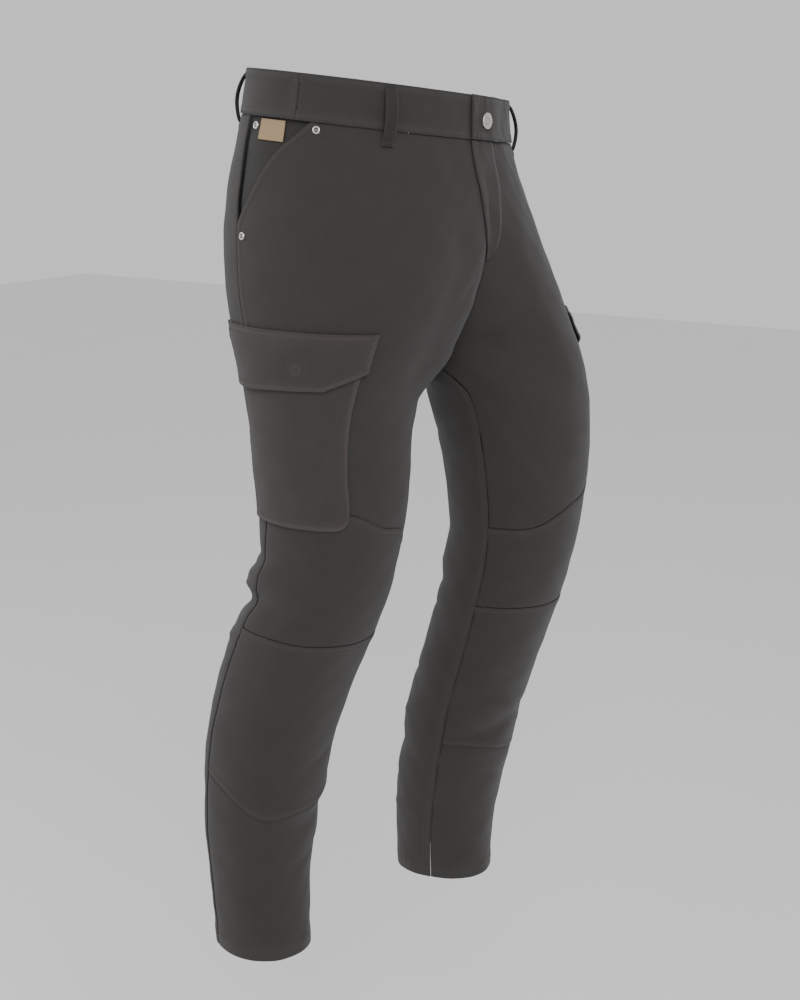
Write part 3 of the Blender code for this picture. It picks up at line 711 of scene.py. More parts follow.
@dataclass
class Panel:
    """One sewn piece of cloth, as a grid that lies on a surface.

    The surface takes two shares, across and down the piece, and a lift, and gives points.
    """

    name: str
    surface: Surface
    width: float
    length: float
    edges: tuple[Edge, Edge, Edge, Edge]
    lift: Callable[[Numbers, Numbers], Numbers]
    pitch: float = 0.0032
    thickness: float = CLOTH
    extra: Callable[["Panel"], Numbers] | None = None
    points: Numbers = field(default=None, repr=False)
    outward: Numbers = field(default=None, repr=False)

    def shape(self) -> None:
        """Work out the panel's points, distances and outward directions."""
        start, end, top, foot = self.edges
        shares = np.meshgrid(spaced(self.width, start, end, self.pitch),
                             spaced(self.length, top, foot, self.pitch), indexing="ij")
        self.across, self.down = shares
        base = self.lift(self.across, self.down)
        flat = self.surface(self.across, self.down, base)
        step_u = np.linalg.norm(np.diff(flat, axis=0), axis=-1)
        step_v = np.linalg.norm(np.diff(flat, axis=1), axis=-1)
        self.from_start = np.concatenate((np.zeros((1, flat.shape[1])), np.cumsum(step_u, 0)), 0)
        self.from_top = np.concatenate((np.zeros((flat.shape[0], 1)), np.cumsum(step_v, 1)), 1)
        self.from_end = self.from_start[-1:] - self.from_start
        self.from_foot = self.from_top[:, -1:] - self.from_top
        rise, fall = np.zeros(base.shape), np.zeros(base.shape)
        self.seam = np.zeros(base.shape)
        for edge, away, along in ((start, self.from_start, self.from_top),
                                  (end, self.from_end, self.from_top),
                                  (top, self.from_top, self.from_start),
                                  (foot, self.from_foot, self.from_start)):
            welt, dip = edge_shape(edge, away, along)
            rise, fall = np.maximum(rise, welt), fall + dip
            if edge in (Edge.OVER, Edge.FOLD):
                self.seam = np.maximum(self.seam, np.exp(-((away - 0.0042) / 0.0042) ** 2))
            elif edge is Edge.HEM:
                self.seam = np.maximum(self.seam, np.exp(-((away - 0.010) / 0.010) ** 2))
        self.rub = np.zeros(base.shape)
        total = base + rise + fall
        if self.extra is not None:
            total = total + self.extra(self)
        self.points = self.surface(self.across, self.down, total)
        go_u = np.gradient(self.points, axis=0)
        go_v = np.gradient(self.points, axis=1)
        out = np.cross(go_u, go_v)
        out /= np.maximum(np.linalg.norm(out, axis=-1, keepdims=True), 1e-12)
        lifted = self.surface(self.across, self.down, total + 0.001) - self.points
        self.flipped = float(np.sum(out * lifted)) < 0.0
        self.outward = -out if self.flipped else out

    def flat_area(self) -> float:
        """Return the area of the cloth that shows, in square metres."""
        corner = self.points
        one = np.cross(corner[1:, :-1] - corner[:-1, :-1], corner[:-1, 1:] - corner[:-1, :-1])
        two = np.cross(corner[1:, :-1] - corner[1:, 1:], corner[:-1, 1:] - corner[1:, 1:])
        return float(np.linalg.norm(one, axis=-1).sum() + np.linalg.norm(two, axis=-1).sum()) / 2

    def build(self, finish: Twill | WovenPatch, slot: str, *nodes: str,
              held: str = "hung", rests_on: tuple[str, ...] = ()) -> bpy.types.Object:
        """Make the panel's mesh and dress it.

        Args:
            finish: the cloth's finish.
            slot: not used.
            nodes: the nodes that the piece stands for.
            held: not used.
            rests_on: not used.

        Returns:
            The finished piece.
        """
        if self.points is None:
            self.shape()
        columns, rows = self.across.shape
        mesh = bpy.data.meshes.new(self.name)
        work = bmesh.new()
        bmesh.ops.create_grid(work, x_segments=columns - 1, y_segments=rows - 1, size=1.0)
        work.to_mesh(mesh)
        work.free()
        count = len(mesh.vertices)
        places = np.empty(count * 3)
        mesh.vertices.foreach_get("co", places)
        places = places.reshape(-1, 3)
        column = np.rint((places[:, 0] + 1.0) / 2.0 * (columns - 1)).astype(int)
        row = np.rint((places[:, 1] + 1.0) / 2.0 * (rows - 1)).astype(int)
        mesh.vertices.foreach_set("co", self.points[column, row].ravel())
        middle = columns // 2
        grain = np.stack((self.from_start - self.from_start[middle:middle + 1],
                          -self.from_top), axis=-1)
        corners = np.empty(len(mesh.loops), dtype=np.int32)
        mesh.loops.foreach_get("vertex_index", corners)
        weave = mesh.uv_layers.new(name="weave")
        weave.data.foreach_set("uv", grain[column[corners], row[corners]].ravel())
        for word, values in (("seam", self.seam), ("rub", self.rub)):
            layer = mesh.attributes.new(word, "FLOAT", "POINT")
            layer.data.foreach_set("value", values[column, row])
        if self.flipped:
            mesh.flip_normals()
        mesh.shade_smooth()
        mesh.update()
        piece = bpy.data.objects.new(self.name, mesh)
        bpy.context.scene.collection.objects.link(piece)
        wall = piece.modifiers.new("cloth", "SOLIDIFY")
        wall.thickness = self.thickness
        wall.offset = -1.0
        wall.use_rim = True
        dress(piece, finish, slot, *nodes)
        width = float((self.from_start[-1]).max())
        length = float((self.from_top[:, -1]).max())
        width, length = max(width, 0.0101), max(length, 0.0101)
        area = min(self.flat_area(), 0.999 * width * length)
        return piece

    def edge_line(self, which: int, away: float) -> tuple[Numbers, Numbers]:
        """Return points and outward directions at a distance from one edge.

        Args:
            which: 0 is the first column, 1 the last, 2 the top and 3 the foot.
            away: the distance from it, in metres.

        Returns:
            The line's points and directions.
        """
        distance = (self.from_start, self.from_end, self.from_top, self.from_foot)[which]
        points, outward = self.points, self.outward
        if which < 2:
            distance = distance.T
            points, outward = points.transpose(1, 0, 2), outward.transpose(1, 0, 2)
        if which in (1, 3):
            distance, points, outward = distance[:, ::-1], points[:, ::-1], outward[:, ::-1]
        line, ways = [], []
        for gap, place, way in zip(distance, points, outward):
            line.append([np.interp(away, gap, place[:, axis]) for axis in range(3)])
            ways.append([np.interp(away, gap, way[:, axis]) for axis in range(3)])
        return np.array(line), np.array(ways)

    def path(self, marks: list[tuple[float, float]]) -> tuple[Numbers, Numbers]:
        """Return points and outward directions along shares of the panel's grid."""
        rows, columns = self.down[0], self.across[:, 0]
        line, ways = [], []
        for (u_from, v_from), (u_to, v_to) in zip(marks, marks[1:]):
            for step in np.linspace(0.0, 1.0, 24, endpoint=False):
                column = float(np.interp(u_from + (u_to - u_from) * step, columns,
                                         np.arange(len(columns))))
                row = float(np.interp(v_from + (v_to - v_from) * step, rows,
                                      np.arange(len(rows))))
                i, j = min(int(column), len(columns) - 2), min(int(row), len(rows) - 2)
                a, b = column - i, row - j
                for kept, source in ((line, self.points), (ways, self.outward)):
                    kept.append(source[i, j] * (1 - a) * (1 - b) + source[i + 1, j] * a * (1 - b)
                                + source[i, j + 1] * (1 - a) * b + source[i + 1, j + 1] * a * b)
        return np.array(line), np.array(ways)


@dataclass
class Stitching:
    """Rows of thread on one part of the garment, gathered into one piece."""

    name: str
    pitch: float = 0.0034
    run: float = 0.0026
    thick: float = 0.00034
    lines: list[tuple[Numbers, Numbers]] = field(default_factory=list)

    def add(self, line: tuple[Numbers, Numbers], first: float = 0.0, last: float = 1.0) -> None:
        """Add a row, or a share of one."""
        count = len(line[0])
        low, high = int(first * (count - 1)), int(round(last * (count - 1))) + 1
        self.lines.append((line[0][low:high], line[1][low:high]))

    def build(self) -> bpy.types.Object:
        """Make one small bead of thread for each stitch and join them."""
        mesh = bpy.data.meshes.new(self.name)
        whole = bmesh.new()
        for points, outward in self.lines:
            steps = np.linalg.norm(np.diff(points, axis=0), axis=1)
            far = np.concatenate(([0.0], np.cumsum(steps)))
            row = bmesh.new()
            for place in np.arange(self.pitch / 2, far[-1] - self.pitch / 2, self.pitch):
                ends = [np.array([np.interp(place + reach, far, points[:, axis])
                                  for axis in range(3)])
                        for reach in (-self.run / 2, self.run / 2)]
                out = Vector([float(np.interp(place, far, outward[:, axis]))
                              for axis in range(3)])
                along = Vector(ends[1] - ends[0])
                if along.length < 1e-5 or out.length < 0.5:
                    continue
                along.normalize()
                out = (out - along * out.dot(along)).normalized()
                across = out.cross(along)
                middle = Vector((ends[0] + ends[1]) / 2) + out * (self.thick * 0.25)
                frame_of = Matrix((
                    (along.x * self.run / 2, across.x * self.thick, out.x * self.thick, middle.x),
                    (along.y * self.run / 2, across.y * self.thick, out.y * self.thick, middle.y),
                    (along.z * self.run / 2, across.z * self.thick, out.z * self.thick, middle.z),
                    (0.0, 0.0, 0.0, 1.0)))
                bmesh.ops.create_icosphere(row, subdivisions=1, radius=1.0, matrix=frame_of)
            row.to_mesh(mesh)
            row.free()
            whole.from_mesh(mesh)
        bmesh.ops.recalc_face_normals(whole, faces=whole.faces)
        whole.to_mesh(mesh)
        whole.free()
        mesh.shade_smooth()
        piece = bpy.data.objects.new(self.name, mesh)
        bpy.context.scene.collection.objects.link(piece)
        return dress(piece, THREAD, "black_twill")


SEAM_ANGLES = (30.0, 90.0, 130.0, SIDE_SEAM)
THIGH_SEAM = (-0.492, -0.463, -0.440, -0.432)
KNEE_SEAM = (-0.592, -0.594, -0.591, -0.584)
SHIN_SEAM = (-0.786, -0.800, -0.806, -0.766)
SLANT_TOP_ANGLE = 170.0
SLANT_FOOT = -0.150


def seam_height(line: tuple[float, ...], station: Numbers) -> Numbers:
    """Return the heights of a front seam at stations, on a soft curve through its marks."""
    marks = np.array(SEAM_ANGLES)
    dense = np.arange(0.0, 361.0, 2.0)
    index = np.clip(np.searchsorted(marks, dense, side="right") - 1, 0, len(marks) - 2)
    share = smooth((dense - marks[index]) / (marks[index + 1] - marks[index]))
    values = np.array(line)[index] + (np.array(line)[index + 1] - np.array(line)[index]) * share
    window = np.exp(-np.linspace(-1.6, 1.6, 17) ** 2)
    padded = np.concatenate((np.full(8, values[0]), values, np.full(8, values[-1])))
    soft = np.convolve(padded, window / window.sum(), mode="valid")
    return np.interp(station, dense, soft)


def slant_station(height: Numbers) -> Numbers:
    """Return the station of the hip pocket's slant edge at heights."""
    share = np.clip((height - WAIST_SEAM) / (SLANT_FOOT - WAIST_SEAM), 0.0, 1.0)
    return SLANT_TOP_ANGLE + (SIDE_SEAM - SLANT_TOP_ANGLE) * share \
        + 4.0 * np.sin(math.pi * share) * (1.0 - share)


def level_lift(lift: float) -> Callable[[Numbers, Numbers], Numbers]:
    """Return a lift that is the same all over a piece."""
    return lambda across, down: np.full(np.shape(across), lift)


@dataclass
class Leg:
    """The panels, pockets and stitching of one leg."""

    side: Side
    fold_word: str = "hung"

    def span(self, first: float, last: float, top: Callable[[Numbers], Numbers],
             foot: Callable[[Numbers], Numbers]) -> Surface:
        """Return the surface between two stations and two lines of height."""
        def surface(across: Numbers, down: Numbers, lift: Numbers) -> Numbers:
            """Return the points of the span."""
            station = first + (last - first) * across
            height = top(station) + (foot(station) - top(station)) * down
            return SKIN.place(self.side.value, station, height, lift)
        return surface

    def front(self) -> Panel:
        """Return the front panel, cut away by the slant pocket."""
        def surface(across: Numbers, down: Numbers, lift: Numbers) -> Numbers:
            """Return the points of the front."""
            station = SIDE_SEAM * across
            height = WAIST_SEAM + (seam_height(THIGH_SEAM, station) - WAIST_SEAM) * down
            edge = np.minimum(slant_station(height), SIDE_SEAM)
            share = (station - FIXED_FRONT) / (SIDE_SEAM - FIXED_FRONT)
            station = np.where(station > FIXED_FRONT,
                               FIXED_FRONT + (edge - FIXED_FRONT) * share, station)
            return SKIN.place(self.side.value, station, height, lift)
        last = Edge.OVER
        panel = Panel("front_%s_cloth" % self.side.word, surface, 0.30, 0.42,
                      (Edge.UNDER, last, Edge.UNDER, Edge.UNDER), level_lift(0.0), 0.0034)
        panel.shape()
        return panel

    def facing(self) -> Panel:
        """Return the hip pocket's facing."""
        def surface(across: Numbers, down: Numbers, lift: Numbers) -> Numbers:
            """Return the points of the facing."""
            height = WAIST_SEAM + 0.001 + (SLANT_FOOT - 0.008 - WAIST_SEAM) * down
            start = np.minimum(slant_station(height), SIDE_SEAM) - 7.0
            station = start + (SIDE_SEAM - 0.4 - start) * across
            return SKIN.place(self.side.value, station, height, lift)
        return Panel("pocket_facing_%s_cloth" % self.side.word, surface, 0.05, 0.11,
                     (Edge.PLAIN, Edge.PLAIN, Edge.PLAIN, Edge.PLAIN), level_lift(-0.0034),
                     0.003)

    def panels(self) -> dict[str, Panel]:
        """Return the knee, shin and back panels by their node's first words."""
        def line(marks: tuple[float, ...]) -> Callable[[Numbers], Numbers]:
            """Return a seam's heights as a function of the station."""
            return lambda station: seam_height(marks, station)

        def fixed(height: float) -> Callable[[Numbers], Numbers]:
            """Return one height at every station."""
            return lambda station: np.full(np.shape(station), height)

        word = self.side.word
        spans = {
            "knee_upper": (0.0, SIDE_SEAM, line(THIGH_SEAM), line(KNEE_SEAM), 0.26, 0.13,
                           (Edge.UNDER, Edge.UNDER, Edge.OVER, Edge.UNDER)),
            "knee_lower": (0.0, SIDE_SEAM, line(KNEE_SEAM), line(SHIN_SEAM), 0.24, 0.21,
                           (Edge.UNDER, Edge.UNDER, Edge.OVER, Edge.OVER)),
            "shin": (0.0, SIDE_SEAM, line(SHIN_SEAM), fixed(HEM), 0.20, 0.18,
                     (Edge.UNDER, Edge.UNDER, Edge.UNDER, Edge.HEM)),
            "back": (SIDE_SEAM, 360.0, fixed(WAIST_SEAM), fixed(HEM), 0.21, 0.95,
                     (Edge.OVER, Edge.OVER, Edge.UNDER, Edge.HEM)),
        }
        made = {}
        for name, (first, last, top, foot, width, length, edges) in spans.items():
            panel = Panel("%s_%s_cloth" % (name, word), self.span(first, last, top, foot),
                          width, length, edges, level_lift(0.0), 0.0034)
            panel.shape()
            made[name] = panel
        return made

    def build(self) -> None:
        """Build the leg's cloth and its rows of stitching."""
        word = self.side.word
        front = self.front()
        front.build(TWILL, "black_twill", "front_" + word)
        # the facing takes the darker twill as painted shade inside the pocket's opening
        self.facing().build(DARK_TWILL, "dark_twill", "pocket_facing_" + word,
                            held="laid", rests_on=("front_" + word,))
        panels = self.panels()
        for name, panel in panels.items():
            panel.build(TWILL, "black_twill", "%s_%s" % (name, word))
        back = panels["back"]
        side_rows = Stitching("side_seam_stitching_" + word)
        inner_rows = Stitching("inseam_stitching_" + word)
        for away in (FIRST_ROW, SECOND_ROW):
            side_rows.add(back.edge_line(0, away))
            inner_rows.add(back.edge_line(1, away))
        side_rows.build()
        inner_rows.build()
        knee_rows = Stitching("knee_stitching_" + word)
        for away in (FIRST_ROW, SECOND_ROW):
            knee_rows.add(panels["knee_upper"].edge_line(2, away))
            knee_rows.add(panels["knee_lower"].edge_line(2, away))
            knee_rows.add(panels["knee_lower"].edge_line(3, away))
        knee_rows.build()
        hem_row = Stitching("hem_stitching_" + word)
        hem_row.add(panels["shin"].edge_line(3, HEM_ROW))
        hem_row.add(back.edge_line(3, HEM_ROW))
        hem_row.build()
        slant_rows = Stitching("slant_pocket_stitching_" + word)
        share = (WAIST_SEAM - SLANT_FOOT) / (WAIST_SEAM + 0.432)
        for away in (FIRST_ROW, SECOND_ROW):
            slant_rows.add(front.edge_line(1, away), 0.0, share + 0.05)
        slant_rows.build()
        LOG.info("leg %s built", word)


POCKET_FRONT, POCKET_BACK = 130.0, 226.0
POCKET_TOP, POCKET_FOOT = -0.266, -0.458
FLAP_FRONT, FLAP_BACK = 127.0, 232.0
FLAP_TOP, FLAP_FOOT = -0.247, -0.311
FLAP_CUT_ANGLE, FLAP_CUT_HEIGHT = 152.0, -0.287
LAY_GAP = 0.0010


@dataclass
class CargoPocket:
    """The flapped pocket on the outer side of one thigh."""

    side: Side
    corner: float = 0.014
    bellows: float = 0.0022
    snap_radius: float = 0.0048

    def lift(self, station: Numbers, height: Numbers) -> Numbers:
        """Return the lift of the pocket's outer face, fuller towards its middle and foot."""
        across = np.clip((station - POCKET_FRONT) / (POCKET_BACK - POCKET_FRONT), 0.0, 1.0)
        down = (height - POCKET_TOP) / (POCKET_FOOT - POCKET_TOP)
        full = np.sin(np.pi * across) * np.clip(4.0 * (1.0 - down), 0.0, 1.0)
        return LAY_GAP + self.bellows * full + CLOTH

    def pocket(self) -> Panel:
        """Return the pocket's face."""
        def spot(across: Numbers, down: Numbers) -> tuple[Numbers, Numbers]:
            """Return stations and heights."""
            station = POCKET_FRONT + (POCKET_BACK - POCKET_FRONT) * across
            near = np.clip(1.0 - (station - POCKET_FRONT) / 11.0, 0.0, 1.0)
            foot = POCKET_FOOT + self.corner * (1.0 - np.sqrt(1.0 - near ** 2 * 0.98))
            return station, POCKET_TOP + (foot - POCKET_TOP) * down

        def surface(across: Numbers, down: Numbers, lift: Numbers) -> Numbers:
            """Return the points of the pocket."""
            station, height = spot(across, down)
            return SKIN.place(self.side.value, station, height, lift)

        def extra(panel: Panel) -> Numbers:
            """Return the pocket's own soft dents and its rolled edges."""
            across, down = panel.across, panel.down
            panel.rub = 0.55 * np.exp(-(panel.from_foot / 0.004) ** 2) \
                + 0.5 * np.exp(-(panel.from_start / 0.004) ** 2)
            dents = -0.0012 * np.exp(-((across - 0.30) / 0.14) ** 2 - ((down - 0.46) / 0.22) ** 2)
            dents = dents + 0.0009 * np.exp(-((across - 0.62 + 0.2 * down) / 0.10) ** 2
                                            - ((down - 0.62) / 0.3) ** 2)
            dents = dents - 0.0008 * np.exp(-((across - 0.80) / 0.10) ** 2
                                            - ((down - 0.80) / 0.16) ** 2)
            nearest = np.minimum(np.minimum(panel.from_start, panel.from_end), panel.from_foot)
            return dents - 0.0016 * np.exp(-(nearest / 0.0007) ** 2)

        panel = Panel("cargo_pocket_%s_cloth" % self.side.word, surface, 0.13, 0.19,
                      (Edge.FOLD, Edge.FOLD, Edge.PLAIN, Edge.FOLD),
                      lambda across, down: self.lift(*spot(across, down)), 0.0028, extra=extra)
        panel.shape()
        return panel

    def flap(self) -> Panel:
        """Return the flap."""
        def spot(across: Numbers, down: Numbers) -> tuple[Numbers, Numbers]:
            """Return stations and heights."""
            station = FLAP_FRONT + (FLAP_BACK - FLAP_FRONT) * across
            share = (station - FLAP_FRONT) / (FLAP_CUT_ANGLE - FLAP_FRONT)
            cut = FLAP_CUT_HEIGHT + (FLAP_FOOT + 0.005 - FLAP_CUT_HEIGHT) * share
            plain = FLAP_FOOT + 0.005 - 0.005 * smooth((station - FLAP_CUT_ANGLE) / 60)
            blend = smooth((station - FLAP_CUT_ANGLE + 1.5) / 3.0)
            foot = np.maximum(cut, plain) * (1.0 - blend) + plain * blend
            return station, FLAP_TOP + (foot - FLAP_TOP) * down

        def surface(across: Numbers, down: Numbers, lift: Numbers) -> Numbers:
            """Return the points of the flap."""
            station, height = spot(across, down)
            return SKIN.place(self.side.value, station, height, lift)

        def lift(across: Numbers, down: Numbers) -> Numbers:
            """Return the flap's lift: on the leg at its top, over the pocket below."""
            station, height = spot(across, down)
            over = self.lift(station, height) + CLOTH + 1.4 * LAY_GAP
            share = smooth((FLAP_TOP - 0.002 - height) / 0.014)
            return LAY_GAP + CLOTH + (over - LAY_GAP - CLOTH) * share

        def extra(panel: Panel) -> Numbers:
            """Return the press of the snap, the flap's curl and its rubbed edges."""
            middle = self.snap_spot(panel)
            near = np.linalg.norm(panel.surface(panel.across, panel.down,
                                                lift(panel.across, panel.down))
                                  - middle, axis=-1)
            snap = -0.0009 * np.exp(-(near / 0.0085) ** 2) \
                + 0.0011 * bell(near, self.snap_radius, 0.0013)
            nearest = np.minimum(np.minimum(panel.from_start, panel.from_end), panel.from_foot)
            panel.rub = 0.8 * np.exp(-(nearest / 0.0026) ** 2) + 0.5 * bell(near, 0.0048, 0.0016)
            curl = 0.0014 * np.exp(-(panel.from_foot / 0.012) ** 2) \
                * (0.5 + 0.5 * np.sin(panel.across * 9.0 + 0.6))
            return snap + curl - 0.0014 * np.exp(-(nearest / 0.0006) ** 2)

        panel = Panel("cargo_flap_%s_cloth" % self.side.word, surface, 0.145, 0.060,
                      (Edge.FOLD, Edge.FOLD, Edge.OVER, Edge.FOLD), lift, 0.0022, extra=extra)
        panel.shape()
        return panel

    def snap_spot(self, panel: Panel) -> Numbers:
        """Return the middle of the snap on the flap."""
        return panel.surface(np.array([0.405]), np.array([0.62]), np.array([0.005]))[0]

    def build(self) -> None:
        """Build the pocket, its flap and their stitching."""
        word = self.side.word
        pocket, flap = self.pocket(), self.flap()
        # the pocket and its flap take the lighter twill, which is painted light
        pocket.build(POCKET_TWILL, "black_twill", "cargo_pocket_" + word,
                     held="laid", rests_on=("front_" + word, "back_" + word))
        flap.build(POCKET_TWILL, "black_twill", "cargo_flap_" + word,
                   held="laid", rests_on=("cargo_pocket_" + word,))
        rows = Stitching("cargo_pocket_stitching_" + word)
        for away in (FIRST_ROW, SECOND_ROW):
            rows.add(pocket.edge_line(0, away))
            rows.add(pocket.edge_line(1, away))
            rows.add(pocket.edge_line(3, away))
            rows.add(flap.edge_line(2, away))
        for which in (0, 1, 3):
            rows.add(flap.edge_line(which, FIRST_ROW))
            rows.add(flap.edge_line(which, SECOND_ROW), 0.06, 0.94)
        box = [(0.33, 0.42), (0.33, 0.82), (0.48, 0.82), (0.48, 0.42), (0.33, 0.42)]
        rows.add(flap.path(box))
        rows.build()
        LOG.info("cargo pocket %s built", word)


BAND_LIFT = 0.0008
BAND_CLOTH = 0.0026
OVERLAP_LIFT = 0.0040
TAB_STATION = 28.0
FLY_FOOT = -0.178
FLY_STATION = 28.0
LAP_TOP, LAP_FOOT = 25.5, 1.5


@dataclass
class Waistband:
    """The band in three pieces, its loops, the fly's strip and their stitching."""

    loop_width: float = 0.0125
    loop_cloth: float = 0.0016
    loop_top: float = -0.001
    loop_foot: float = -0.063
    loop_stand: float = 0.0090
    loops: tuple[tuple[Side, float], ...] = (
        (Side.RIGHT, 136.0), (Side.RIGHT, 236.0), (Side.LEFT, 136.0), (Side.LEFT, 236.0),
        (Side.LEFT, 360.0))

    @staticmethod
    def stretch(first: float, last: float) -> Surface:
        """Return the band's surface between two signed stations.

        A station under 0 is on the wearer's right, and one past 360 comes round the back
        to the right again.
        """
        def surface(across: Numbers, down: Numbers, lift: Numbers) -> Numbers:
            """Return the points of the stretch."""
            place = first + (last - first) * across
            right = (place < 0.0) | (place > 360.0)
            station = np.where(place > 360.0, 720.0 - place, np.abs(place))
            side = np.where(right, -1.0, 1.0)
            height = (WAIST_SEAM + SEAM_GAP) * down
            points = SKIN.at(side, station, height)
            away = np.minimum(np.abs(place), np.abs(360.0 - place))
            ways = SKIN.normal(side, np.clip(station, 2.5, 357.5), height)
            level = 1.0 - smooth(away / 5.0)
            ways[..., 0] = ways[..., 0] * (1.0 - level)
            ways /= np.linalg.norm(ways, axis=-1, keepdims=True)
            return points + ways * lift[..., None]
        return surface

    def band(self) -> dict[str, Panel]:
        """Return the three pieces of the band by their nodes' names."""
        def settle(across: Numbers, down: Numbers) -> Numbers:
            """Return the left piece's lift, raised where it laps the right one."""
            place = -TAB_STATION + (BAND_SEAM + TAB_STATION) * across
            return BAND_LIFT + OVERLAP_LIFT * (1.0 - smooth((place - 10.0) / 60.0))

        edges = (Edge.FOLD, Edge.UNDER, Edge.FOLD, Edge.FOLD)
        under = (Edge.UNDER, Edge.UNDER, Edge.FOLD, Edge.FOLD)
        over = (Edge.OVER, Edge.OVER, Edge.FOLD, Edge.FOLD)
        made = {
            "waistband_left": Panel("waistband_left_cloth", self.stretch(-TAB_STATION, BAND_SEAM),
                                    0.28, 0.047, edges, settle, 0.003, BAND_CLOTH),
            "waistband_right": Panel("waistband_right_cloth", self.stretch(-BAND_SEAM, 0.0),
                                     0.25, 0.047, under, level_lift(BAND_LIFT), 0.003,
                                     BAND_CLOTH),
            "waistband_back": Panel("waistband_back_cloth",
                                    self.stretch(BAND_SEAM, 720.0 - BAND_SEAM),
                                    0.46, 0.047, over, level_lift(BAND_LIFT), 0.0034,
                                    BAND_CLOTH)}
        for panel in made.values():
            panel.shape()
        return made

    def placket(self) -> Panel:
        """Return the fly's strip, which laps a little over the right front."""
        def surface(across: Numbers, down: Numbers, lift: Numbers) -> Numbers:
            """Return the points of the strip."""
            height = WAIST_SEAM - SEAM_GAP + (FLY_FOOT - WAIST_SEAM) * down
            lap = LAP_TOP + (LAP_FOOT - LAP_TOP) * down
            reach = FLY_STATION * np.sqrt(np.maximum(1.0 - down ** 3, 0.02))
            place = -lap + (reach + lap) * across
            side = np.where(place < 0.0, -1.0, 1.0)
            points = SKIN.at(side, np.abs(place), height)
            ways = SKIN.normal(side, np.maximum(np.abs(place), 2.5), height)
            level = 1.0 - smooth(np.abs(place) / 5.0)
            ways[..., 0] = ways[..., 0] * (1.0 - level)
            ways /= np.linalg.norm(ways, axis=-1, keepdims=True)
            return points + ways * lift[..., None]
        panel = Panel("fly_placket_cloth", surface, 0.065, 0.131,
                      (Edge.FOLD, Edge.PLAIN, Edge.PLAIN, Edge.PLAIN),
                      lambda across, down: LAY_GAP + CLOTH - (LAY_GAP + CLOTH)
                      * smooth((across - 0.80) / 0.20), 0.0026)
        panel.shape()
        return panel

    def loop(self, number: int, side: Side, angle: float) -> Panel:
        """Return one belt loop, sewn down at both ends and standing off between."""
        middle = min(angle, 345.0)
        half = SKIN.degrees(side.value, middle, 0.0, self.loop_width / 2)

        def surface(across: Numbers, down: Numbers, lift: Numbers) -> Numbers:
            """Return the points of the loop."""
            height = self.loop_top + (self.loop_foot - self.loop_top) * down
            if angle < 355.0:
                station = angle + half * (2.0 * across - 1.0)
                return SKIN.place(side.value, station, height, lift)
            station = np.full(np.shape(across), 360.0)
            points = SKIN.at(side.value, station, height)
            ways = SKIN.normal(side.value, station - 2.5, height)
            ways[..., 0] = 0.0
            ways /= np.linalg.norm(ways, axis=-1, keepdims=True)
            points = points + ways * lift[..., None]
            points[..., 0] = (0.5 - across) * self.loop_width
            return points

        def lift(across: Numbers, down: Numbers) -> Numbers:
            """Return how far the loop's outer face stands off the skin."""
            bow = np.sin(np.pi * np.clip((down - 0.06) / 0.84, 0.0, 1.0)) ** 0.6
            rest = BAND_LIFT + 0.0006 - 0.0003 * down
            round_back = 0.0005 * (2.0 * across - 1.0) ** 2
            return rest + (self.loop_stand - rest) * bow + self.loop_cloth - round_back

        def extra(panel: Panel) -> Numbers:
            """Return the rolled edges and the middle furrow of the folded strip."""
            nearest = np.minimum(panel.from_start, panel.from_end)
            panel.rub = 0.7 * np.exp(-(nearest / 0.0012) ** 2)
            return -0.0005 * np.exp(-(nearest / 0.0005) ** 2) \
                - 0.00022 * bell(nearest, 0.0018, 0.0006)

        panel = Panel("belt_loop_%d_cloth" % number, surface, self.loop_width, 0.066,
                      (Edge.PLAIN, Edge.PLAIN, Edge.PLAIN, Edge.PLAIN), lift, 0.0012,
                      self.loop_cloth, extra)
        panel.shape()
        return panel

    def build(self) -> None:
        """Build the band, its loops, the fly's strip and their stitching."""
        rows = Stitching("waistband_stitching")
        for node, panel in self.band().items():
            panel.build(TWILL, "black_twill", node, rests_on=("front_right", "front_left"))
            for which in (2, 3):
                rows.add(panel.edge_line(which, FIRST_ROW))
            if node == "waistband_left":
                rows.add(panel.edge_line(0, FIRST_ROW))
                self.buttonhole(panel)
            if node == "waistband_back":
                rows.add(panel.edge_line(0, FIRST_ROW))
                rows.add(panel.edge_line(1, FIRST_ROW))
        rows.build()
        placket = self.placket()
        placket.build(TWILL, "black_twill", "fly_placket", held="laid",
                      rests_on=("front_left", "front_right"))
        fly_rows = Stitching("fly_stitching")
        fly_rows.add(placket.edge_line(0, FIRST_ROW))
        fly_rows.add(placket.edge_line(0, SECOND_ROW))
        fly_rows.build()
        for number, (side, angle) in enumerate(self.loops, start=1):
            panel = self.loop(number, side, angle)
            panel.build(DARK_TWILL, "dark_twill", "belt_loop_%d" % number, held="laid",
                        rests_on=("waistband_back",))
            loop_rows = Stitching("belt_loop_%d_stitching" % number)
            loop_rows.add(panel.edge_line(0, 0.0018))
            loop_rows.add(panel.edge_line(1, 0.0018))
            loop_rows.build()
            tack = Stitching("belt_loop_%d_bar_tacks" % number, pitch=0.00062, run=0.0020,
                             thick=0.00030)
            for down in (0.045, 0.945):
                tack.lines.append(self.across_bar(panel, down))
            tack.build()
        LOG.info("waistband built")

    @staticmethod
    def across_bar(panel: Panel, down: float) -> tuple[Numbers, Numbers]:
        """Return the line of a bar tack straight across a loop."""
        points, outward = panel.path([(0.06, down), (0.94, down)])
        return points + outward * 0.00012, outward

    @staticmethod
    def buttonhole(panel: Panel) -> None:
        """Sew the worked edge of the buttonhole beside the button."""
        hole = Stitching("buttonhole_stitching", pitch=0.00055, run=0.0017, thick=0.00028)
        for down in (0.49, 0.57):
            hole.lines.append(panel.path([(0.035, down), (0.085, down)]))
        hole.build()


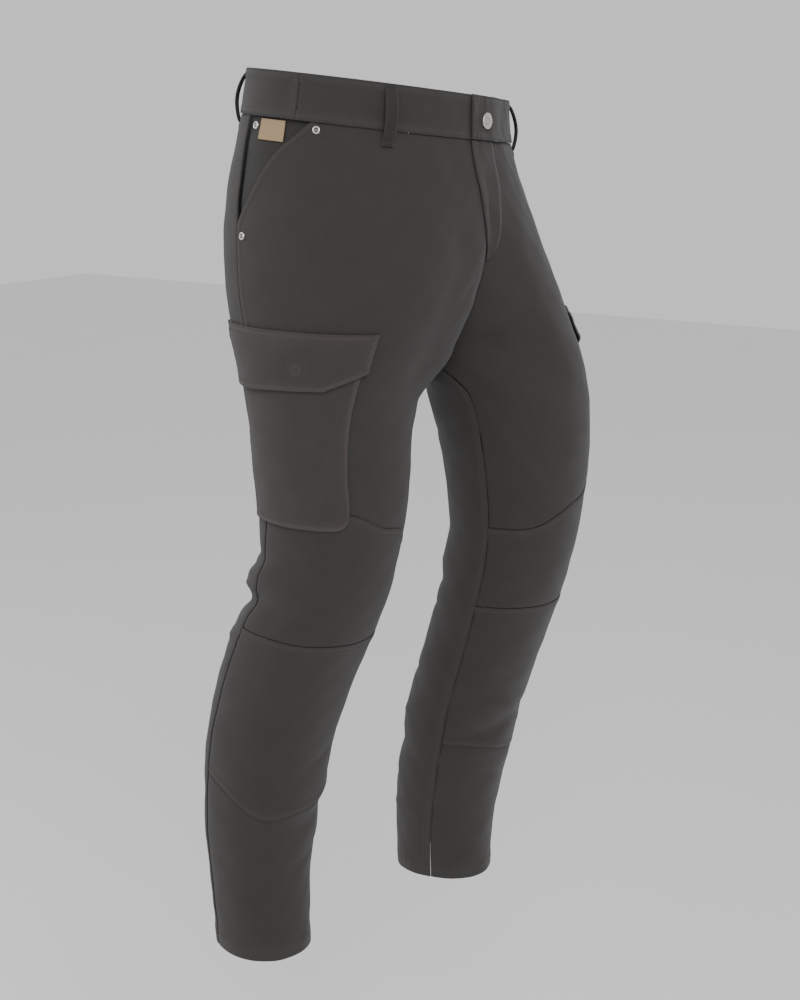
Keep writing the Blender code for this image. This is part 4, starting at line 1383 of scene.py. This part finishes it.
@dataclass
class Stud:
    """A turned metal piece set on the cloth."""

    node: str
    side: Side
    station: float
    height: float
    lift: float
    profile: tuple[tuple[float, float, float], ...]

    def build(self) -> None:
        """Spin the profile about the stud's axis and set it on the skin.

        The profile gives radius, rise and painted shade, from the middle out.
        """
        work = bmesh.new()
        steps = [work.verts.new((max(radius, 0.00001), 0.0, rise))
                 for radius, rise, _ in self.profile]
        edges = [work.edges.new(pair) for pair in zip(steps, steps[1:])]
        bmesh.ops.spin(work, geom=steps + edges, cent=(0.0, 0.0, 0.0), axis=(0.0, 0.0, 1.0),
                       angle=2.0 * math.pi, steps=48, use_merge=True)
        bmesh.ops.remove_doubles(work, verts=work.verts, dist=0.00003)
        bmesh.ops.holes_fill(work, edges=work.edges, sides=60)
        bmesh.ops.recalc_face_normals(work, faces=work.faces)
        mesh = bpy.data.meshes.new(self.node + "_metal")
        work.to_mesh(mesh)
        work.free()
        radii = [radius for radius, _, _ in self.profile]
        # painted shade for each point, taken from the profile's third numbers
        layer = mesh.attributes.new("recess", "FLOAT", "POINT")
        for vertex in mesh.vertices:
            reach = math.hypot(vertex.co.x, vertex.co.y)
            layer.data[vertex.index].value = float(
                np.interp(reach, radii, [mark for _, _, mark in self.profile]))
        side = float(self.side.value)
        point = SKIN.at(side, self.station, self.height)
        way = Vector(SKIN.normal(side, self.station, self.height))
        mesh.transform(Matrix.Translation(Vector(point) + way * self.lift)
                       @ way.to_track_quat("Z", "Y").to_matrix().to_4x4())
        mesh.shade_smooth()
        piece = bpy.data.objects.new(self.node + "_metal", mesh)
        bpy.context.scene.collection.objects.link(piece)
        dress(piece, NICKEL, "steel", self.node)


@dataclass
class Hardware:
    """The waist button, the six rivets and the plain patch."""

    rivet: float = 0.0045
    button: float = 0.0088
    patch_angles: tuple[float, float] = (181.5, 196.0)
    patch_heights: tuple[float, float] = (-0.0485, -0.0690)

    def rivet_profile(self) -> tuple[tuple[float, float, float], ...]:
        """Return a rivet: a ring with painted shade in its well and a low point in its middle."""
        size, tall = self.rivet, 0.0022
        return ((0.0, tall * 0.72, 0.35), (size * 0.16, tall * 0.70, 0.4),
                (size * 0.26, tall * 0.46, 1.0), (size * 0.44, tall * 0.42, 1.0),
                (size * 0.54, tall * 0.82, 0.25), (size * 0.62, tall * 0.98, 0.0),
                (size * 0.74, tall * 1.02, 0.0), (size * 0.88, tall * 0.84, 0.0),
                (size * 0.97, tall * 0.46, 0.0), (size * 1.0, 0.0, 0.3))

    def button_profile(self) -> tuple[tuple[float, float, float], ...]:
        """Return the button: a flat well inside a rounded rim, on its shank, with painted shade at
        the well's edge and at its foot.
        """
        size, tall = self.button, 0.0034
        return ((0.0, tall * 0.86, 0.0), (size * 0.22, tall * 0.84, 0.0),
                (size * 0.34, tall * 0.66, 0.35), (size * 0.62, tall * 0.64, 0.1),
                (size * 0.72, tall * 0.72, 0.0), (size * 0.80, tall * 0.97, 0.0),
                (size * 0.89, tall * 1.02, 0.0), (size * 0.97, tall * 0.86, 0.0),
                (size * 1.0, tall * 0.58, 0.0), (size * 0.96, tall * 0.34, 0.2),
                (size * 0.98, 0.0, 0.5))

    def build(self) -> None:
        """Build the metal and the patch."""
        Stud("button", Side.LEFT, 2.0, -0.026, BAND_LIFT + OVERLAP_LIFT + SEAM_GAP,
             self.button_profile()).build()
        for side in Side:
            spots = (("top_front", SLANT_TOP_ANGLE - 3.0, -0.054, 0.0),
                     ("top_side", SIDE_SEAM - 5.0, -0.056, -0.0034),
                     ("foot", SIDE_SEAM - 5.0, SLANT_FOOT - 0.012, 0.0))
            for word, station, height, lift in spots:
                Stud("rivet_%s_%s" % (word, side.word), side, station, height, lift,
                     self.rivet_profile()).build()

        def surface(across: Numbers, down: Numbers, lift: Numbers) -> Numbers:
            """Return the points of the patch."""
            first, last = self.patch_angles
            top, foot = self.patch_heights
            return SKIN.place(Side.RIGHT.value, first + (last - first) * across,
                              top + (foot - top) * down, lift)
        patch = Panel("label_patch_cloth", surface, 0.018, 0.0205,
                      (Edge.PLAIN, Edge.PLAIN, Edge.PLAIN, Edge.PLAIN),
                      level_lift(-0.0016), 0.0009, 0.0008)
        patch.build(PATCH, "patch", "label_patch", held="laid",
                    rests_on=("pocket_facing_right",))
        LOG.info("hardware built")


@dataclass
class Studio:
    """The pale floor, the lights and the camera at the photograph's angle."""

    turn: float = 57.0
    pitch: float = 13.8
    distance: float = 1.90
    aside: float = 0.019
    focal_pixels: float = 1690.0
    rows: int = 1000

    def camera(self) -> None:
        """Set the camera."""
        turn, pitch = math.radians(self.turn), math.radians(self.pitch)
        ahead = Vector((math.sin(turn), math.cos(turn), 0.0))
        right = Vector((math.cos(turn), -math.sin(turn), 0.0))
        data = bpy.data.cameras.new("photograph")
        data.sensor_fit = "VERTICAL"
        data.sensor_height = 36.0
        data.lens = self.focal_pixels / self.rows * 36.0
        data.clip_end = 60.0
        eye = bpy.data.objects.new("photograph", data)
        eye.location = -ahead * self.distance + right * self.aside
        look = ahead * math.cos(pitch) - Vector((0.0, 0.0, math.sin(pitch)))
        eye.rotation_euler = look.to_track_quat("-Z", "Y").to_euler()
        bpy.context.scene.collection.objects.link(eye)
        bpy.context.scene.camera = eye

    def backdrop(self) -> None:
        """Make the floor."""
        turn = math.radians(self.turn)
        ahead = Vector((math.sin(turn), math.cos(turn), 0.0))
        mesh = bpy.data.meshes.new("studio_floor")
        work = bmesh.new()
        bmesh.ops.create_grid(work, x_segments=2, y_segments=2, size=9.0)
        work.to_mesh(mesh)
        work.free()
        mesh.transform(Matrix.Translation((0.0, 0.0, -1.55)))
        floor = bpy.data.objects.new("studio_floor", mesh)
        bpy.context.scene.collection.objects.link(floor)
        floor.data.materials.append(WARDROBE.of(PAINT))
        LOG.info("floor ahead of %s", ahead)

    def light(self, name: str, place: tuple[float, float, float], power: float,
              size: float) -> None:
        """Add a soft square light that faces the trousers."""
        data = bpy.data.lights.new(name, "AREA")
        data.energy = power
        data.size = size
        lamp = bpy.data.objects.new(name, data)
        lamp.location = place
        aim = Vector((0.0, 0.0, -0.45)) - Vector(place)
        lamp.rotation_euler = aim.to_track_quat("-Z", "Y").to_euler()
        bpy.context.scene.collection.objects.link(lamp)

    def build(self) -> None:
        """Set the stage."""
        world = bpy.data.worlds.new("studio")
        world.use_nodes = True
        world.node_tree.nodes["Background"].inputs[0].default_value = (0.93, 0.93, 0.94, 1.0)
        world.node_tree.nodes["Background"].inputs[1].default_value = 0.85
        bpy.context.scene.world = world
        self.backdrop()
        self.light("key", (-2.4, -2.2, 1.6), 90.0, 1.8)
        self.light("rim", (-1.0, 2.6, 1.2), 30.0, 1.6)
        self.camera()
        LOG.info("studio built")


def main() -> None:
    """Build every part of the trousers and the studio."""
    logging.basicConfig(level=logging.INFO, format="%(name)s: %(message)s")
    Studio().build()
    for side in Side:
        Leg(side).build()
        CargoPocket(side).build()
    Waistband().build()
    Hardware().build()


if __name__ == "__main__":
    main()
